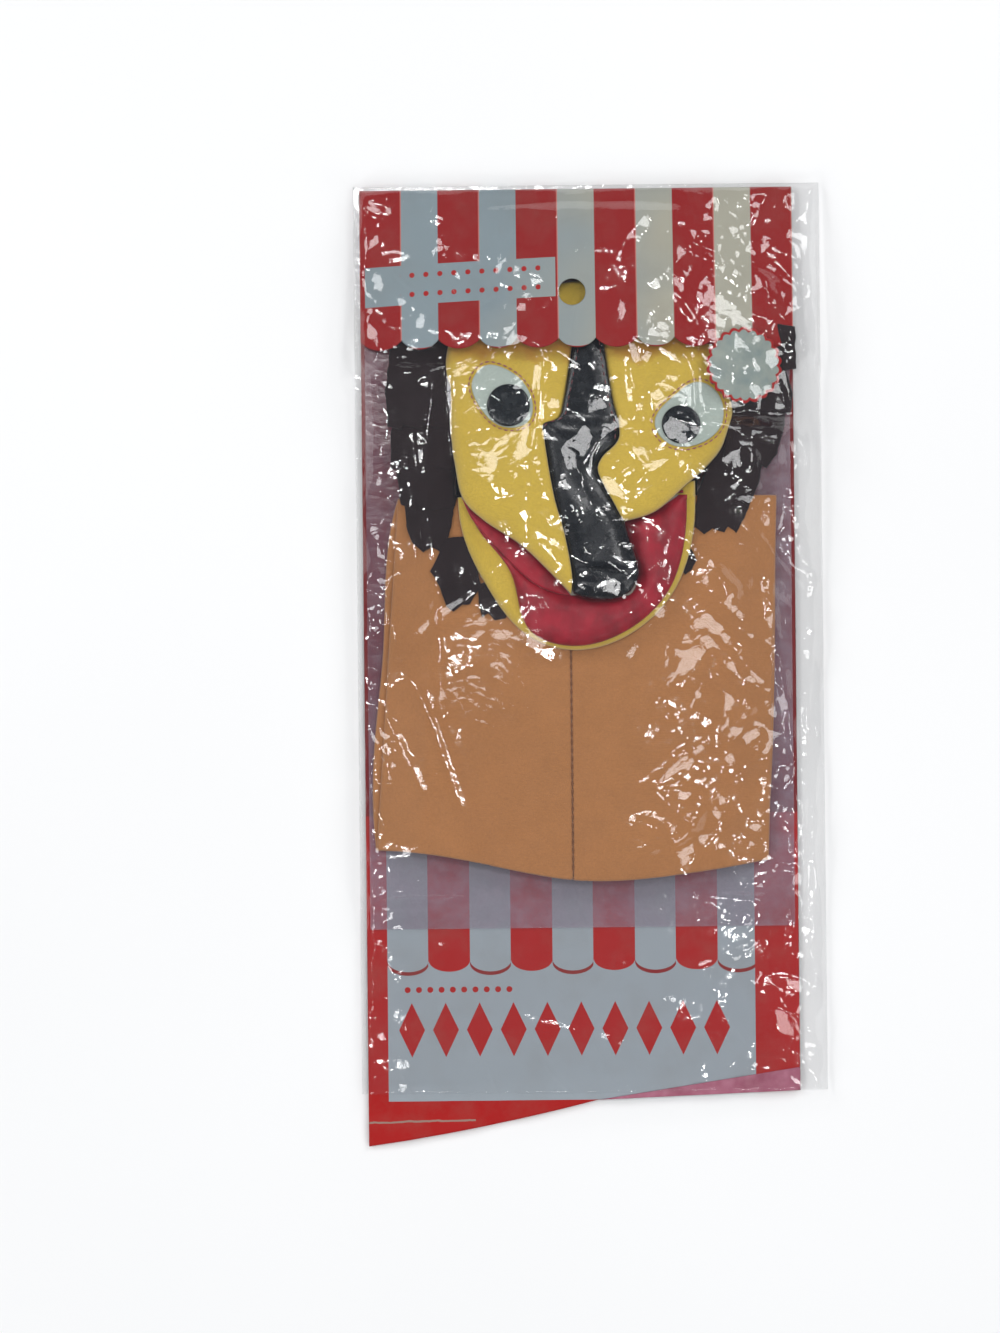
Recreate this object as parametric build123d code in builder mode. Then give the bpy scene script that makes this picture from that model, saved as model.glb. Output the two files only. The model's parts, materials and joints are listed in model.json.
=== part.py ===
"""Felt lion hand puppet with a moving mouth, laid flat on its striped display card inside a clear bag.

Frame: +X to the right, +Y towards the top of the card, +Z up out of the front of the puppet.
The origin is on the surface that the package lies on, under the middle of its outline. Millimetres.
"""
from build123d import *
from math import copysign, cos, pi, sin
import os

os.makedirs("parts", exist_ok=True)

# ---- driving dimensions -------------------------------------------------------------------------
FELT = 1.2            # thickness of the tan felt
THIN_FELT = 1.0       # thickness of the yellow felt and the black vinyl
MANE_FELT = 0.8       # thickness of the brown felt
EYE_FELT = 0.6        # thickness of the white and black felt of the eyes
LINING = 0.7          # thickness of the red lining of the mouth
BOARD = 0.4           # thickness of the stiffening boards in the mouth
FILM = 0.2            # thickness of the plastic sheets
CARD = 0.8            # thickness of the back card
CLEAR = 0.3           # free gap between bodies that touch in real life
HAND_GAP = 4.6        # height of the hollows that the hand goes into

CARD_LEFT, CARD_RIGHT = -68.2, 61.8
CARD_TOP, CARD_FOOT = 143.2, -144.4
CARD_FOOT_RIGHT = -128.7
BAG_HALF = 70.1
BAG_TOP, BAG_MOUTH = 144.4, -128.5
WELD = 0.8            # width of the bag's welded edges
ROLL = 0.7            # radius of the roll of board at the top of the card

RED_STRIPE, WHITE_STRIPE = 12.5, 11.0
FLAP_EDGE = 97.5      # where the awning's scallops spring from
SCALLOP = 2.8         # depth of one scallop
HANG_HOLE = (-4.6, 111.6)
HANG_HOLE_RADIUS = 4.0
ROUNDEL = (46.6, 89.0)
ROUNDEL_RADIUS = 11.6

HINGE_Y = 51.4        # line of the two mouth corners
MOVING_TOP = 50.4     # top edge of the pieces that swing on that line
FIXED_FOOT = 56.0     # bottom edge of the face pieces that stay with the head
SEAM_X = -6.0         # centre seam of the tan body
FACE_FALL = 0.23      # how fast the face falls away towards the crown

# ---- heights, from the surface up ---------------------------------------------------------------
card_low = FILM + CLEAR
card_high = card_low + CARD
liner_high = card_high + FILM
back_low = liner_high + CLEAR
back_high = back_low + FELT
front_low = back_high + HAND_GAP
front_high = front_low + FELT
tuft_high = front_high + MANE_FELT
jaw_low = tuft_high + CLEAR
jaw_board_low = jaw_low + THIN_FELT
lining_low = jaw_board_low + BOARD
lining_high = lining_low + LINING
palate_low = lining_high + CLEAR
palate_board_low = palate_low + LINING
pocket_low = palate_board_low + BOARD
muzzle_low = pocket_low + HAND_GAP
muzzle_high = muzzle_low + THIN_FELT
mouth_axis_z = (lining_high + palate_low) / 2
jaw_axis_z = jaw_low + 0.1
FOLD_RADIUS = 0.5


def write(piece, name):
    """Label a finished piece and write its STEP file."""
    piece.part.label = name
    export_step(piece.part, f"parts/{name}.step")


def closed_outline(points):
    """A face with straight sides through the points, for the sketch that is open."""
    with BuildLine() as rim:
        Polyline(*points, close=True)
    make_face(rim.edges())


def curved_outline(points):
    """A face whose edge is one smooth curve through the points, closed by a straight side."""
    with BuildLine() as rim:
        Spline(*points)
        Line(points[-1], points[0])
    make_face(rim.edges())


def without_wall(plan, shift):
    """The plan less a wall along its two sides and along the edge that lies away from the shift in Y."""
    wall = abs(shift)
    return plan & (Pos(wall, shift) * plan) & (Pos(-wall, shift) * plan)


# ---- display card -------------------------------------------------------------------------------
FOOT_TURN = (1.0, -131.0)     # where the slanting foot of the card levels out
BORDER_TURN = 7.0             # height of the turned border at the right edge

with BuildPart() as back_card:
    with BuildSketch(Plane.XY.offset(card_low)):
        with BuildLine():
            Polyline(
                FOOT_TURN,
                (CARD_RIGHT, CARD_FOOT_RIGHT),
                (CARD_RIGHT, CARD_TOP - 2 * ROLL),
                (CARD_LEFT, CARD_TOP - 2 * ROLL),
                (CARD_LEFT, CARD_FOOT),
            )
            ThreePointArc((CARD_LEFT, CARD_FOOT), (-32.0, -138.4), FOOT_TURN)
        make_face()
    extrude(amount=CARD)
write(back_card, "back_card")

# the roll of board that joins the back card to its header
fold_y = CARD_TOP - ROLL
fold_z = card_high
with BuildPart() as header_fold:
    with BuildSketch(Plane.YZ.offset(CARD_LEFT)):
        with Locations((fold_y, fold_z)):
            Circle(ROLL)
    extrude(amount=CARD_RIGHT - CARD_LEFT)
write(header_fold, "header_fold")

# the lower right of the red border, turned up over the front of the card
with BuildPart() as turned_border:
    with BuildSketch(Plane.XY.offset(card_high)):
        closed_outline(
            [FOOT_TURN, (CARD_RIGHT, CARD_FOOT_RIGHT), (CARD_RIGHT, CARD_FOOT_RIGHT + BORDER_TURN)]
        )
    extrude(amount=FILM)
write(turned_border, "turned_border")

# hazy sheet between the card and the puppet
LINER_TOP, LINER_FOOT = 140.0, -79.1
LINER_INSET = 1.1             # how far the liner stops short of the card's two sides
with BuildPart() as liner_film:
    with BuildSketch(Plane.XY.offset(card_high)):
        with Locations(((CARD_LEFT + CARD_RIGHT) / 2, (LINER_FOOT + LINER_TOP) / 2)):
            Rectangle(CARD_RIGHT - CARD_LEFT - 2 * LINER_INSET, LINER_TOP - LINER_FOOT)
    extrude(amount=FILM)
write(liner_film, "liner_film")

# ---- header flap --------------------------------------------------------------------------------
FLAP = 0.5                    # thickness of the header board
FLAP_ROOT = CARD_TOP - 1.8
FLAP_REACH = 74.0             # far end of the bent sheet that the header is cut from
FLAP_CROWN, FLAP_SHOULDER = 18.5, 4.0
FLAP_ARCH = 0.2               # how far the flap is already arched at its fold
STRIPES = 11
TALL = 40.0                   # higher than any piece, for cutting a piece to its plan
WIDE = 75.0                   # half the width of a layer that is cut to its plan


def flap_section(y, crown, shoulder):
    """Section of the bent header: level at its fold, arched over the head at its free edge."""
    half = (CARD_RIGHT - CARD_LEFT) / 2
    middle = (CARD_LEFT + CARD_RIGHT) / 2
    shares = [step / 8 for step in range(-8, 9)]
    lower = [(middle + half * share, crown - (crown - shoulder) * share**4) for share in shares]
    upper = [(x, z + FLAP) for x, z in reversed(lower)]
    with BuildSketch(Plane.XZ.offset(-y)) as section:
        with BuildLine():
            Polyline(*lower, *upper, close=True)
        make_face()
    return section.sketch


FLAP_ENDS = [
    flap_section(FLAP_ROOT, fold_z + CLEAR + FLAP_ARCH, fold_z + CLEAR),
    flap_section(FLAP_REACH, FLAP_CROWN, FLAP_SHOULDER),
]

with BuildPart() as header_flap:
    loft(FLAP_ENDS, ruled=True)
    with BuildSketch():
        with BuildLine():
            Polyline(
                (CARD_LEFT, FLAP_EDGE), (CARD_LEFT, CARD_TOP), (CARD_RIGHT, CARD_TOP), (CARD_RIGHT, FLAP_EDGE)
            )
            x = CARD_RIGHT
            for stripe in range(STRIPES):
                width = WHITE_STRIPE if stripe % 2 else RED_STRIPE
                ThreePointArc((x, FLAP_EDGE), (x - width / 2, FLAP_EDGE - SCALLOP), (x - width, FLAP_EDGE))
                x -= width
        make_face()
        with Locations(ROUNDEL):
            Circle(ROUNDEL_RADIUS + CLEAR, mode=Mode.SUBTRACT)
        with Locations(HANG_HOLE):
            Circle(HANG_HOLE_RADIUS, mode=Mode.SUBTRACT)
    extrude(amount=TALL, mode=Mode.INTERSECT)
write(header_flap, "header_flap")

# white disc that hangs over the awning's edge
with BuildPart() as roundel:
    loft(FLAP_ENDS, ruled=True)
    with BuildSketch():
        with Locations(ROUNDEL):
            Circle(ROUNDEL_RADIUS)
    extrude(amount=TALL, mode=Mode.INTERSECT)
write(roundel, "roundel")

# ---- puppet's tan body --------------------------------------------------------------------------
HEM = [(-65.1, -55.3), (-34.0, -59.2), (-5.3, -64.6), (24.5, -63.4), (52.0, -59.2)]
LEFT_EDGE = [(-57.5, MOVING_TOP), (-60.5, 36.9), (-62.4, 4.7), (-64.9, -19.0), HEM[0]]
RIGHT_EDGE = [HEM[-1], (54.3, -29.1), (55.4, 5.0), (56.3, MOVING_TOP)]
SLOPE = 13.0                  # how far in from the side seam the front panel rises to full height
FRONT_FOOT = (-65.6, -66.0, 52.6)   # left, y and right of the front's section below its hem


def body_plan():
    """Plan of the body panels: curved sides, a hem that dips at the centre seam, a straight neck."""
    with BuildSketch() as plan:
        with BuildLine():
            Spline(*LEFT_EDGE)
            Spline(*HEM)
            Spline(*RIGHT_EDGE)
            Line(RIGHT_EDGE[-1], LEFT_EDGE[0])
        make_face()
    return plan.sketch


def front_section(y, left, right):
    """Section of the body's front panel, flat over the hand and sloping down to the side seams."""
    with BuildSketch(Plane.XZ.offset(-y)) as section:
        with BuildLine():
            Polyline(
                (left, back_high),
                (left, back_high + FELT),
                (left + SLOPE, front_high),
                (right - SLOPE, front_high),
                (right, back_high + FELT),
                (right, back_high),
                (right - FELT, back_high),
                (right - SLOPE, front_low),
                (left + SLOPE, front_low),
                (left + FELT, back_high),
                close=True,
            )
        make_face()
    return section.sketch


with BuildPart() as body_back:
    with BuildSketch(Plane.XY.offset(back_low)):
        add(body_plan())
    extrude(amount=FELT)
write(body_back, "body_back")

FRONT_ENDS = [
    front_section(FRONT_FOOT[1], FRONT_FOOT[0], FRONT_FOOT[2]),
    front_section(MOVING_TOP, LEFT_EDGE[0][0], RIGHT_EDGE[-1][0]),
]
for side, keep in (("left", Keep.BOTTOM), ("right", Keep.TOP)):
    with BuildPart() as body_front:
        loft(FRONT_ENDS, ruled=True)
        with BuildSketch():
            with BuildLine():
                Spline(*HEM)
                Polyline(
                    HEM[-1],
                    (WIDE, HEM[-1][1]),
                    (WIDE, MOVING_TOP),
                    (-WIDE, MOVING_TOP),
                    (-WIDE, HEM[0][1]),
                    HEM[0],
                )
            make_face()
        extrude(amount=TALL, mode=Mode.INTERSECT)
        split(bisect_by=Plane.YZ.offset(SEAM_X), keep=keep)
    write(body_front, f"body_front_{side}")

# raised stitching where the two front panels meet
SEAM_FOOT = -63.0
SEAM_WIDTH, SEAM_RISE = 0.7, 0.3
with BuildPart() as centre_seam:
    with BuildSketch(Plane.XY.offset(front_high)):
        with Locations((SEAM_X, (MOVING_TOP + SEAM_FOOT) / 2)):
            Rectangle(SEAM_WIDTH, MOVING_TOP - SEAM_FOOT)
    extrude(amount=SEAM_RISE)
write(centre_seam, "centre_seam")

# ---- puppet's head ------------------------------------------------------------------------------
FACE_LEFT = [(-40.0, FIXED_FOOT), (-41.3, 67.6), (-42.3, 80.0), (-42.6, 92.0), (-38.0, 103.0)]
FACE_RIGHT = [(36.0, 103.0), (42.2, 93.0), (43.1, 80.0), (39.2, 64.0), (32.5, FIXED_FOOT)]
FACE_CROWN = (-2.0, 114.5)
FACE_SEAM_X = -2.5            # the two halves of the face meet under the nose
FACE_REACH = 130.0            # far end, past the crown, of the layers that the face is cut from
NECK_LEFT, NECK_RIGHT = -40.0, 32.5
MOUTH_GAP = 4.0               # width of the opening in a wall for the hand, across the mouth line
GUSSET_MOUTH = (-38.0, 30.0)


def head_plan():
    """Plan of the head: an upright oval, open at the mouth line."""
    with BuildSketch() as plan:
        with BuildLine():
            Spline(*FACE_LEFT)
            ThreePointArc(FACE_LEFT[-1], FACE_CROWN, FACE_RIGHT[0])
            Spline(*FACE_RIGHT)
            Line(FACE_RIGHT[-1], FACE_LEFT[0])
        make_face()
    return plan.sketch


def on_face(lift, thickness):
    """Section, seen from the side, of a layer that lies on the sloping face at the height lift."""
    reach = FACE_REACH - HINGE_Y
    with BuildSketch(Plane.YZ) as section:
        with BuildLine():
            low, high = muzzle_low + lift, muzzle_low + lift + thickness
            Polyline(
                (HINGE_Y, low),
                (HINGE_Y, high),
                (HINGE_Y + reach, high - reach * FACE_FALL),
                (HINGE_Y + reach, low - reach * FACE_FALL),
                close=True,
            )
        make_face()
    return section.sketch


with BuildPart() as head_back:
    with BuildSketch(Plane.XY.offset(back_low)):
        add(head_plan())
        with Locations(((NECK_LEFT + NECK_RIGHT) / 2, (MOVING_TOP + FIXED_FOOT) / 2 + 0.1)):
            Rectangle(NECK_RIGHT - NECK_LEFT, FIXED_FOOT - MOVING_TOP)
    extrude(amount=FELT)
write(head_back, "head_back")

# felt wall round the head, from its back up to its face
with BuildPart() as head_gusset:
    with BuildSketch(Plane.XY.offset(back_high)):
        add(head_plan())
        add(without_wall(head_plan(), -THIN_FELT), mode=Mode.SUBTRACT)
        with Locations((sum(GUSSET_MOUTH) / 2, FIXED_FOOT)):
            Rectangle(GUSSET_MOUTH[1] - GUSSET_MOUTH[0], MOUTH_GAP, mode=Mode.SUBTRACT)
    extrude(amount=muzzle_low)
    with BuildSketch(Plane.YZ):
        with BuildLine():
            Polyline(
                (HINGE_Y, back_high),
                (HINGE_Y, muzzle_low),
                (HINGE_Y + (muzzle_low - back_high) / FACE_FALL, back_high),
                close=True,
            )
        make_face()
    extrude(amount=WIDE, both=True, mode=Mode.INTERSECT)
write(head_gusset, "head_gusset")

for side, keep in (("left", Keep.BOTTOM), ("right", Keep.TOP)):
    with BuildPart() as face_half:
        extrude(on_face(0.0, THIN_FELT), amount=WIDE, both=True)
        with BuildSketch():
            add(head_plan())
        extrude(amount=TALL, mode=Mode.INTERSECT)
        split(bisect_by=Plane.YZ.offset(FACE_SEAM_X), keep=keep)
    write(face_half, f"face_{side}")

# black bridge of the nose, from under the header down to the mouth line
NOSE_TOP_Y = 105.0
with BuildPart() as nose_bridge:
    extrude(on_face(THIN_FELT, THIN_FELT), amount=WIDE, both=True)
    with BuildSketch():
        closed_outline(
            [
                (-3.6, NOSE_TOP_Y),
                (4.0, NOSE_TOP_Y),
                (4.6, 96.5),
                (6.9, 80.0),
                (9.2, 70.5),
                (3.6, FIXED_FOOT),
                (-11.7, FIXED_FOOT),
                (-13.8, 71.8),
                (-8.9, 74.0),
                (-7.2, 80.0),
                (-3.9, 96.5),
            ]
        )
    extrude(amount=TALL, mode=Mode.INTERSECT)
write(nose_bridge, "nose_bridge")

# eyes: a white felt drop with a round black pupil on it
EYES = {
    "left": [
        (-29.0, 90.0),
        (-22.0, 87.0),
        (-17.0, 79.5),
        (-17.8, 73.0),
        (-25.0, 71.0),
        (-33.0, 78.0),
        (-34.6, 85.5),
    ],
    "right": [
        (34.5, 83.8),
        (39.6, 78.5),
        (39.4, 71.0),
        (33.0, 65.5),
        (23.0, 66.0),
        (19.6, 71.5),
        (26.0, 80.5),
    ],
}
PUPILS = {"left": (-24.0, 77.6, 6.4), "right": (27.4, 71.3, 5.8)}
for side, rim in EYES.items():
    with BuildPart() as eye_white:
        extrude(on_face(THIN_FELT, EYE_FELT), amount=WIDE, both=True)
        with BuildSketch():
            with BuildLine():
                Spline(*rim, periodic=True)
            make_face()
        extrude(amount=TALL, mode=Mode.INTERSECT)
    write(eye_white, f"eye_white_{side}")

for side, (x, y, radius) in PUPILS.items():
    with BuildPart() as pupil:
        extrude(on_face(THIN_FELT + EYE_FELT, EYE_FELT), amount=WIDE, both=True)
        with BuildSketch():
            with Locations((x, y)):
                Circle(radius)
        extrude(amount=TALL, mode=Mode.INTERSECT)
    write(pupil, f"pupil_{side}")

# ---- mane ---------------------------------------------------------------------------------------
def ragged_strip(left, right, top, bottom, teeth, depth):
    """Corners of a felt strip whose lower edge is cut into teeth."""
    step = (right - left) / teeth
    corners = [(left, top), (right, top)]
    for tooth in range(teeth):
        x = right - tooth * step
        corners += [(x, bottom + depth), (x - step * 0.45, bottom)]
    return corners + [(left, bottom + depth * 0.6)]


# each strip of the mane: left, right, top, bottom, height of its underside, teeth, depth of a tooth
MANE_STRIPS = {
    "mane_left_upper": (-60.9, -43.8, 108.0, 71.8, back_high, 3, 2.0),
    "mane_left_middle": (-59.6, -42.8, 71.4, 60.0, back_high, 3, 2.0),
    "mane_left_lower": (-55.0, -44.0, 49.8, 34.0, front_high, 2, 3.5),
    "mane_left_tuft": (-47.6, -36.0, 33.0, 18.5, front_high, 1, 6.0),
    "mane_chin_tuft": (-32.8, -27.0, 25.0, 14.0, front_high, 1, 3.0),
    "mane_right_upper": (44.2, 58.4, 99.0, 76.0, back_high, 3, 2.0),
    "mane_right_middle": (43.8, 58.2, 75.6, 57.0, back_high, 2, 5.0),
    "mane_right_lower": (42.5, 50.0, 49.8, 38.6, front_high, 1, 3.5),
    "mane_right_tuft": (33.0, 41.5, 49.8, 40.6, front_high, 1, 3.0),
    "mane_small_tuft": (28.6, 32.4, 36.0, 27.8, front_high, 1, 2.0),
}
for name, (left, right, top, bottom, z, teeth, depth) in MANE_STRIPS.items():
    with BuildPart() as strip:
        with BuildSketch(Plane.XY.offset(z)):
            closed_outline(ragged_strip(left, right, top, bottom, teeth, depth))
        extrude(amount=MANE_FELT)
    write(strip, name)

# brown felt crown behind the top of the face
with BuildPart() as mane_crown:
    with BuildSketch(Plane.XY.offset(back_high)):
        with BuildLine():
            ThreePointArc((-43.2, 104.0), (-2.0, 127.0), (43.2, 104.0))
            Line((43.2, 104.0), (37.0, 104.0))
            ThreePointArc((37.0, 104.0), (-2.0, 116.0), (-39.0, 104.0))
            Line((-39.0, 104.0), (-43.2, 104.0))
        make_face()
    extrude(amount=MANE_FELT)
write(mane_crown, "mane_crown")

# ---- mouth line and lower jaw -------------------------------------------------------------------
SEAM_LEFT, SEAM_RIGHT = -36.0, 28.0

# rolled seam that joins the jaw to the body along the mouth line
with BuildPart() as jaw_seam:
    with BuildSketch(Plane.YZ.offset(SEAM_LEFT)):
        with Locations((HINGE_Y, jaw_axis_z)):
            Circle(FOLD_RADIUS)
    extrude(amount=SEAM_RIGHT - SEAM_LEFT)
write(jaw_seam, "jaw_seam")

JAW_EDGE = [
    (-39.3, MOVING_TOP),
    (-38.2, 40.0),
    (-30.6, 23.0),
    (-19.0, 8.9),
    (-6.1, 4.4),
    (8.5, 7.3),
    (24.5, 20.9),
    (30.8, 38.0),
    (31.6, MOVING_TOP),
]
LINING_EDGE = [
    (-37.0, MOVING_TOP),
    (-32.9, 40.0),
    (-23.6, 27.0),
    (-18.6, 10.8),
    (-6.1, 5.6),
    (8.0, 8.6),
    (23.3, 21.8),
    (28.4, 38.0),
    (29.0, MOVING_TOP),
]
for name, edge, z, thickness in (
    ("jaw_shell", JAW_EDGE, jaw_low, THIN_FELT),
    ("jaw_board", LINING_EDGE, jaw_board_low, BOARD),
    ("mouth_lining", LINING_EDGE, lining_low, LINING),
):
    with BuildPart() as layer:
        with BuildSketch(Plane.XY.offset(z)):
            curved_outline(edge)
        extrude(amount=thickness)
    write(layer, name)

# roll of red lining that joins the two halves of the mouth
with BuildPart() as mouth_fold:
    with BuildSketch(Plane.YZ.offset(SEAM_LEFT)):
        with Locations((HINGE_Y, mouth_axis_z)):
            Circle(FOLD_RADIUS)
    extrude(amount=SEAM_RIGHT - SEAM_LEFT)
write(mouth_fold, "mouth_fold")

# ---- upper muzzle -------------------------------------------------------------------------------
MUZZLE_LEFT = [(-38.4, MOVING_TOP), (-31.7, 43.5), (-21.0, 36.0), (-13.0, 28.6), (-5.9, 20.7)]
SNOUT_LEFT = [(-5.9, 20.7), (-5.6, 27.0), (-7.7, 39.0), (-10.8, MOVING_TOP)]
SNOUT_RIGHT = [(5.4, MOVING_TOP), (10.1, 42.4), (14.4, 27.3), (12.8, 20.5)]
MUZZLE_RIGHT = [(10.1, 42.4), (19.5, 45.4), (26.6, MOVING_TOP)]
MUZZLE_MOUTH = (-34.0, 24.0)


def muzzle_plan():
    """Plan of the whole upper muzzle: left lobe, snout and right lobe."""
    with BuildSketch() as plan:
        with BuildLine():
            Spline(*MUZZLE_LEFT)
            Line(MUZZLE_LEFT[-1], SNOUT_RIGHT[-1])
            Polyline(*SNOUT_RIGHT[:0:-1])
            Polyline(*MUZZLE_RIGHT)
            Line(MUZZLE_RIGHT[-1], MUZZLE_LEFT[0])
        make_face()
    return plan.sketch


for name, z, thickness in (
    ("palate_lining", palate_low, LINING),
    ("palate_board", palate_board_low, BOARD),
):
    with BuildPart() as layer:
        with BuildSketch(Plane.XY.offset(z)):
            add(muzzle_plan())
        extrude(amount=thickness)
    write(layer, name)

# felt wall between the palate and the lobes, open towards the hand
with BuildPart() as muzzle_rim:
    with BuildSketch(Plane.XY.offset(pocket_low)):
        add(muzzle_plan())
        add(without_wall(muzzle_plan(), THIN_FELT), mode=Mode.SUBTRACT)
        with Locations((sum(MUZZLE_MOUTH) / 2, MOVING_TOP)):
            Rectangle(MUZZLE_MOUTH[1] - MUZZLE_MOUTH[0], MOUTH_GAP, mode=Mode.SUBTRACT)
    extrude(amount=HAND_GAP)
write(muzzle_rim, "muzzle_rim")

with BuildPart() as muzzle_left:
    with BuildSketch(Plane.XY.offset(muzzle_low)):
        with BuildLine():
            Spline(*MUZZLE_LEFT)
            Polyline(*SNOUT_LEFT)
            Line(SNOUT_LEFT[-1], MUZZLE_LEFT[0])
        make_face()
    extrude(amount=THIN_FELT)
write(muzzle_left, "muzzle_left")

with BuildPart() as muzzle_right:
    with BuildSketch(Plane.XY.offset(muzzle_low)):
        closed_outline([SNOUT_RIGHT[0], *MUZZLE_RIGHT])
    extrude(amount=THIN_FELT)
write(muzzle_right, "muzzle_right")

with BuildPart() as nose_snout:
    with BuildSketch(Plane.XY.offset(muzzle_low)):
        closed_outline([*SNOUT_LEFT, *SNOUT_RIGHT])
    extrude(amount=THIN_FELT)
write(nose_snout, "nose_snout")

# small flap of vinyl folded over at the end of the nose
with BuildPart() as nose_tip:
    with BuildSketch(Plane.XY.offset(muzzle_high)):
        closed_outline([(-1.0, 28.4), (12.4, 27.0), (5.6, 20.8)])
    extrude(amount=THIN_FELT)
write(nose_tip, "nose_tip")

# ---- clear bag ----------------------------------------------------------------------------------
# heights of the front film's crown, from the mouth of the bag to its top
CROWNS = [
    (BAG_MOUTH, 6.5),
    (-100.0, 7.5),
    (-66.0, 12.0),
    (-20.0, 20.0),
    (20.0, 31.0),
    (50.0, 31.0),
    (76.0, 25.5),
    (98.0, 22.0),
    (120.0, 14.5),
    (BAG_TOP - WELD, 7.5),
]
SECTION_STEPS = 24
SECTION_ROUNDNESS = 0.25      # 1 for a true oval, towards 0 for a box


def bag_section(y, crown, inset=0.0):
    """Half of a boxy oval: a section of the filled bag, or of its inside if inset is the film."""
    half = BAG_HALF - WELD - inset
    rise = crown - FILM
    turns = [pi * step / SECTION_STEPS for step in range(SECTION_STEPS + 1)]
    foot = FILM - inset
    rim = [(copysign(half * abs(cos(t)) ** SECTION_ROUNDNESS, cos(t)), foot + rise * sin(t)) for t in turns]
    with BuildSketch(Plane.XZ.offset(-y)) as section:
        with BuildLine():
            Polyline(*rim)
            Line(rim[-1], rim[0])
        make_face()
    return section.sketch


outside = [bag_section(y, crown) for y, crown in CROWNS]
inner_crowns = [(BAG_MOUTH - 0.5, CROWNS[0][1]), *CROWNS[1:-1], (CROWNS[-1][0] - FILM, CROWNS[-1][1])]
inside = [bag_section(y, crown, FILM) for y, crown in inner_crowns]
with BuildPart() as bag_front:
    loft(outside, ruled=True)
    loft(inside, ruled=True, mode=Mode.SUBTRACT)
write(bag_front, "bag_front")

with BuildPart() as bag_back:
    with BuildSketch():
        with Locations((0, (BAG_TOP + BAG_MOUTH) / 2)):
            Rectangle(2 * BAG_HALF, BAG_TOP - BAG_MOUTH)
    extrude(amount=FILM)
write(bag_back, "bag_back")

for name, x in (("bag_weld_left", -BAG_HALF + WELD / 2), ("bag_weld_right", BAG_HALF - WELD / 2)):
    with BuildPart() as weld:
        with BuildSketch(Plane.XY.offset(FILM)):
            with Locations((x, (BAG_TOP + BAG_MOUTH) / 2)):
                Rectangle(WELD, BAG_TOP - BAG_MOUTH)
        extrude(amount=FILM)
    write(weld, name)

with BuildPart() as bag_weld_top:
    with BuildSketch(Plane.XY.offset(FILM)):
        with Locations((0, BAG_TOP - WELD / 2)):
            Rectangle(2 * (BAG_HALF - WELD), WELD)
    extrude(amount=FILM)
write(bag_weld_top, "bag_weld_top")

# doubled hem of film at the mouth of the bag, beside the card
LIP_LEFT, LIP_RIGHT = CARD_RIGHT + 0.8, BAG_HALF - WELD - 0.3
LIP_HEIGHT = 7.0
with BuildPart() as bag_lip:
    with BuildSketch(Plane.XY.offset(FILM)):
        with Locations(((LIP_LEFT + LIP_RIGHT) / 2, BAG_MOUTH + LIP_HEIGHT / 2)):
            Rectangle(LIP_RIGHT - LIP_LEFT, LIP_HEIGHT)
    extrude(amount=FILM)
write(bag_lip, "bag_lip")
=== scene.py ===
"""The looks of the felt lion hand puppet, its striped card and its clear bag, built round the CAD frame.

Lengths are in millimetres until a mesh or a Blender object is made from them, which is in metres.
"""
import json
import math

import bpy
import numpy as np
from mathutils.bvhtree import BVHTree
from mathutils.geometry import delaunay_2d_cdt
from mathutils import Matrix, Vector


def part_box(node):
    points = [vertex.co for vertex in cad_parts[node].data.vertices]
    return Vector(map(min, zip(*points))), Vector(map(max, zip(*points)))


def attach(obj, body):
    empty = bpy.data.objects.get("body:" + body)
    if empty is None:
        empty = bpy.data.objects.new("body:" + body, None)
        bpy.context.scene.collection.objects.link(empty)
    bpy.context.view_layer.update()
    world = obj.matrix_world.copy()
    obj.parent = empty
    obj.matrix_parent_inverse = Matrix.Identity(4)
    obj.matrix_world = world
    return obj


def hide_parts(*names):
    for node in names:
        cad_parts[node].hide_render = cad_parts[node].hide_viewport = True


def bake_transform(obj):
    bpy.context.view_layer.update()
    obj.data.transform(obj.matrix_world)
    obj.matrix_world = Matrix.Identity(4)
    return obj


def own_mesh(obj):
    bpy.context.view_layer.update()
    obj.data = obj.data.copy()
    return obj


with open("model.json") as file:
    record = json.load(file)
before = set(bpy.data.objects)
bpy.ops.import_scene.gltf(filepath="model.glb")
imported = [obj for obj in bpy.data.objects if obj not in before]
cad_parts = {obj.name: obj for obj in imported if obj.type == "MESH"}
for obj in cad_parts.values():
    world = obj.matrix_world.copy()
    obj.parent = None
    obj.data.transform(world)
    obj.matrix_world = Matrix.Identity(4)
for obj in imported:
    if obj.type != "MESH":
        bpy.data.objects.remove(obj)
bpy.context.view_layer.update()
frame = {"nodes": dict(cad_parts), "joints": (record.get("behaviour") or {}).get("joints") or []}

MM = 0.001


# ---- sizes taken from the frame -----------------------------------------------------------------
def box(node):
    """Lowest and highest corner of a CAD node, in millimetres."""
    return [np.array(corner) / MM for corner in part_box(node)]


CARD_LOW, CARD_HIGH = box("back_card")
BAG_LOW, BAG_HIGH = box("bag_back")
ROUNDEL_LOW, ROUNDEL_HIGH = box("roundel")
ROUNDEL = (ROUNDEL_LOW + ROUNDEL_HIGH) / 2
ROUNDEL_RADIUS = (ROUNDEL_HIGH[0] - ROUNDEL_LOW[0]) / 2
ROUNDEL_TEETH, ROUNDEL_TOOTH = 22, 0.9
JOINTS = {joint["name"]: joint for joint in frame["joints"]}
HINGE_Y = JOINTS["mouth_open"]["pos_m"][1] / MM
MUZZLE_TOP = box("muzzle_left")[1][2]
SEAM_X = sum(box("centre_seam"))[0] / 2

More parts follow.
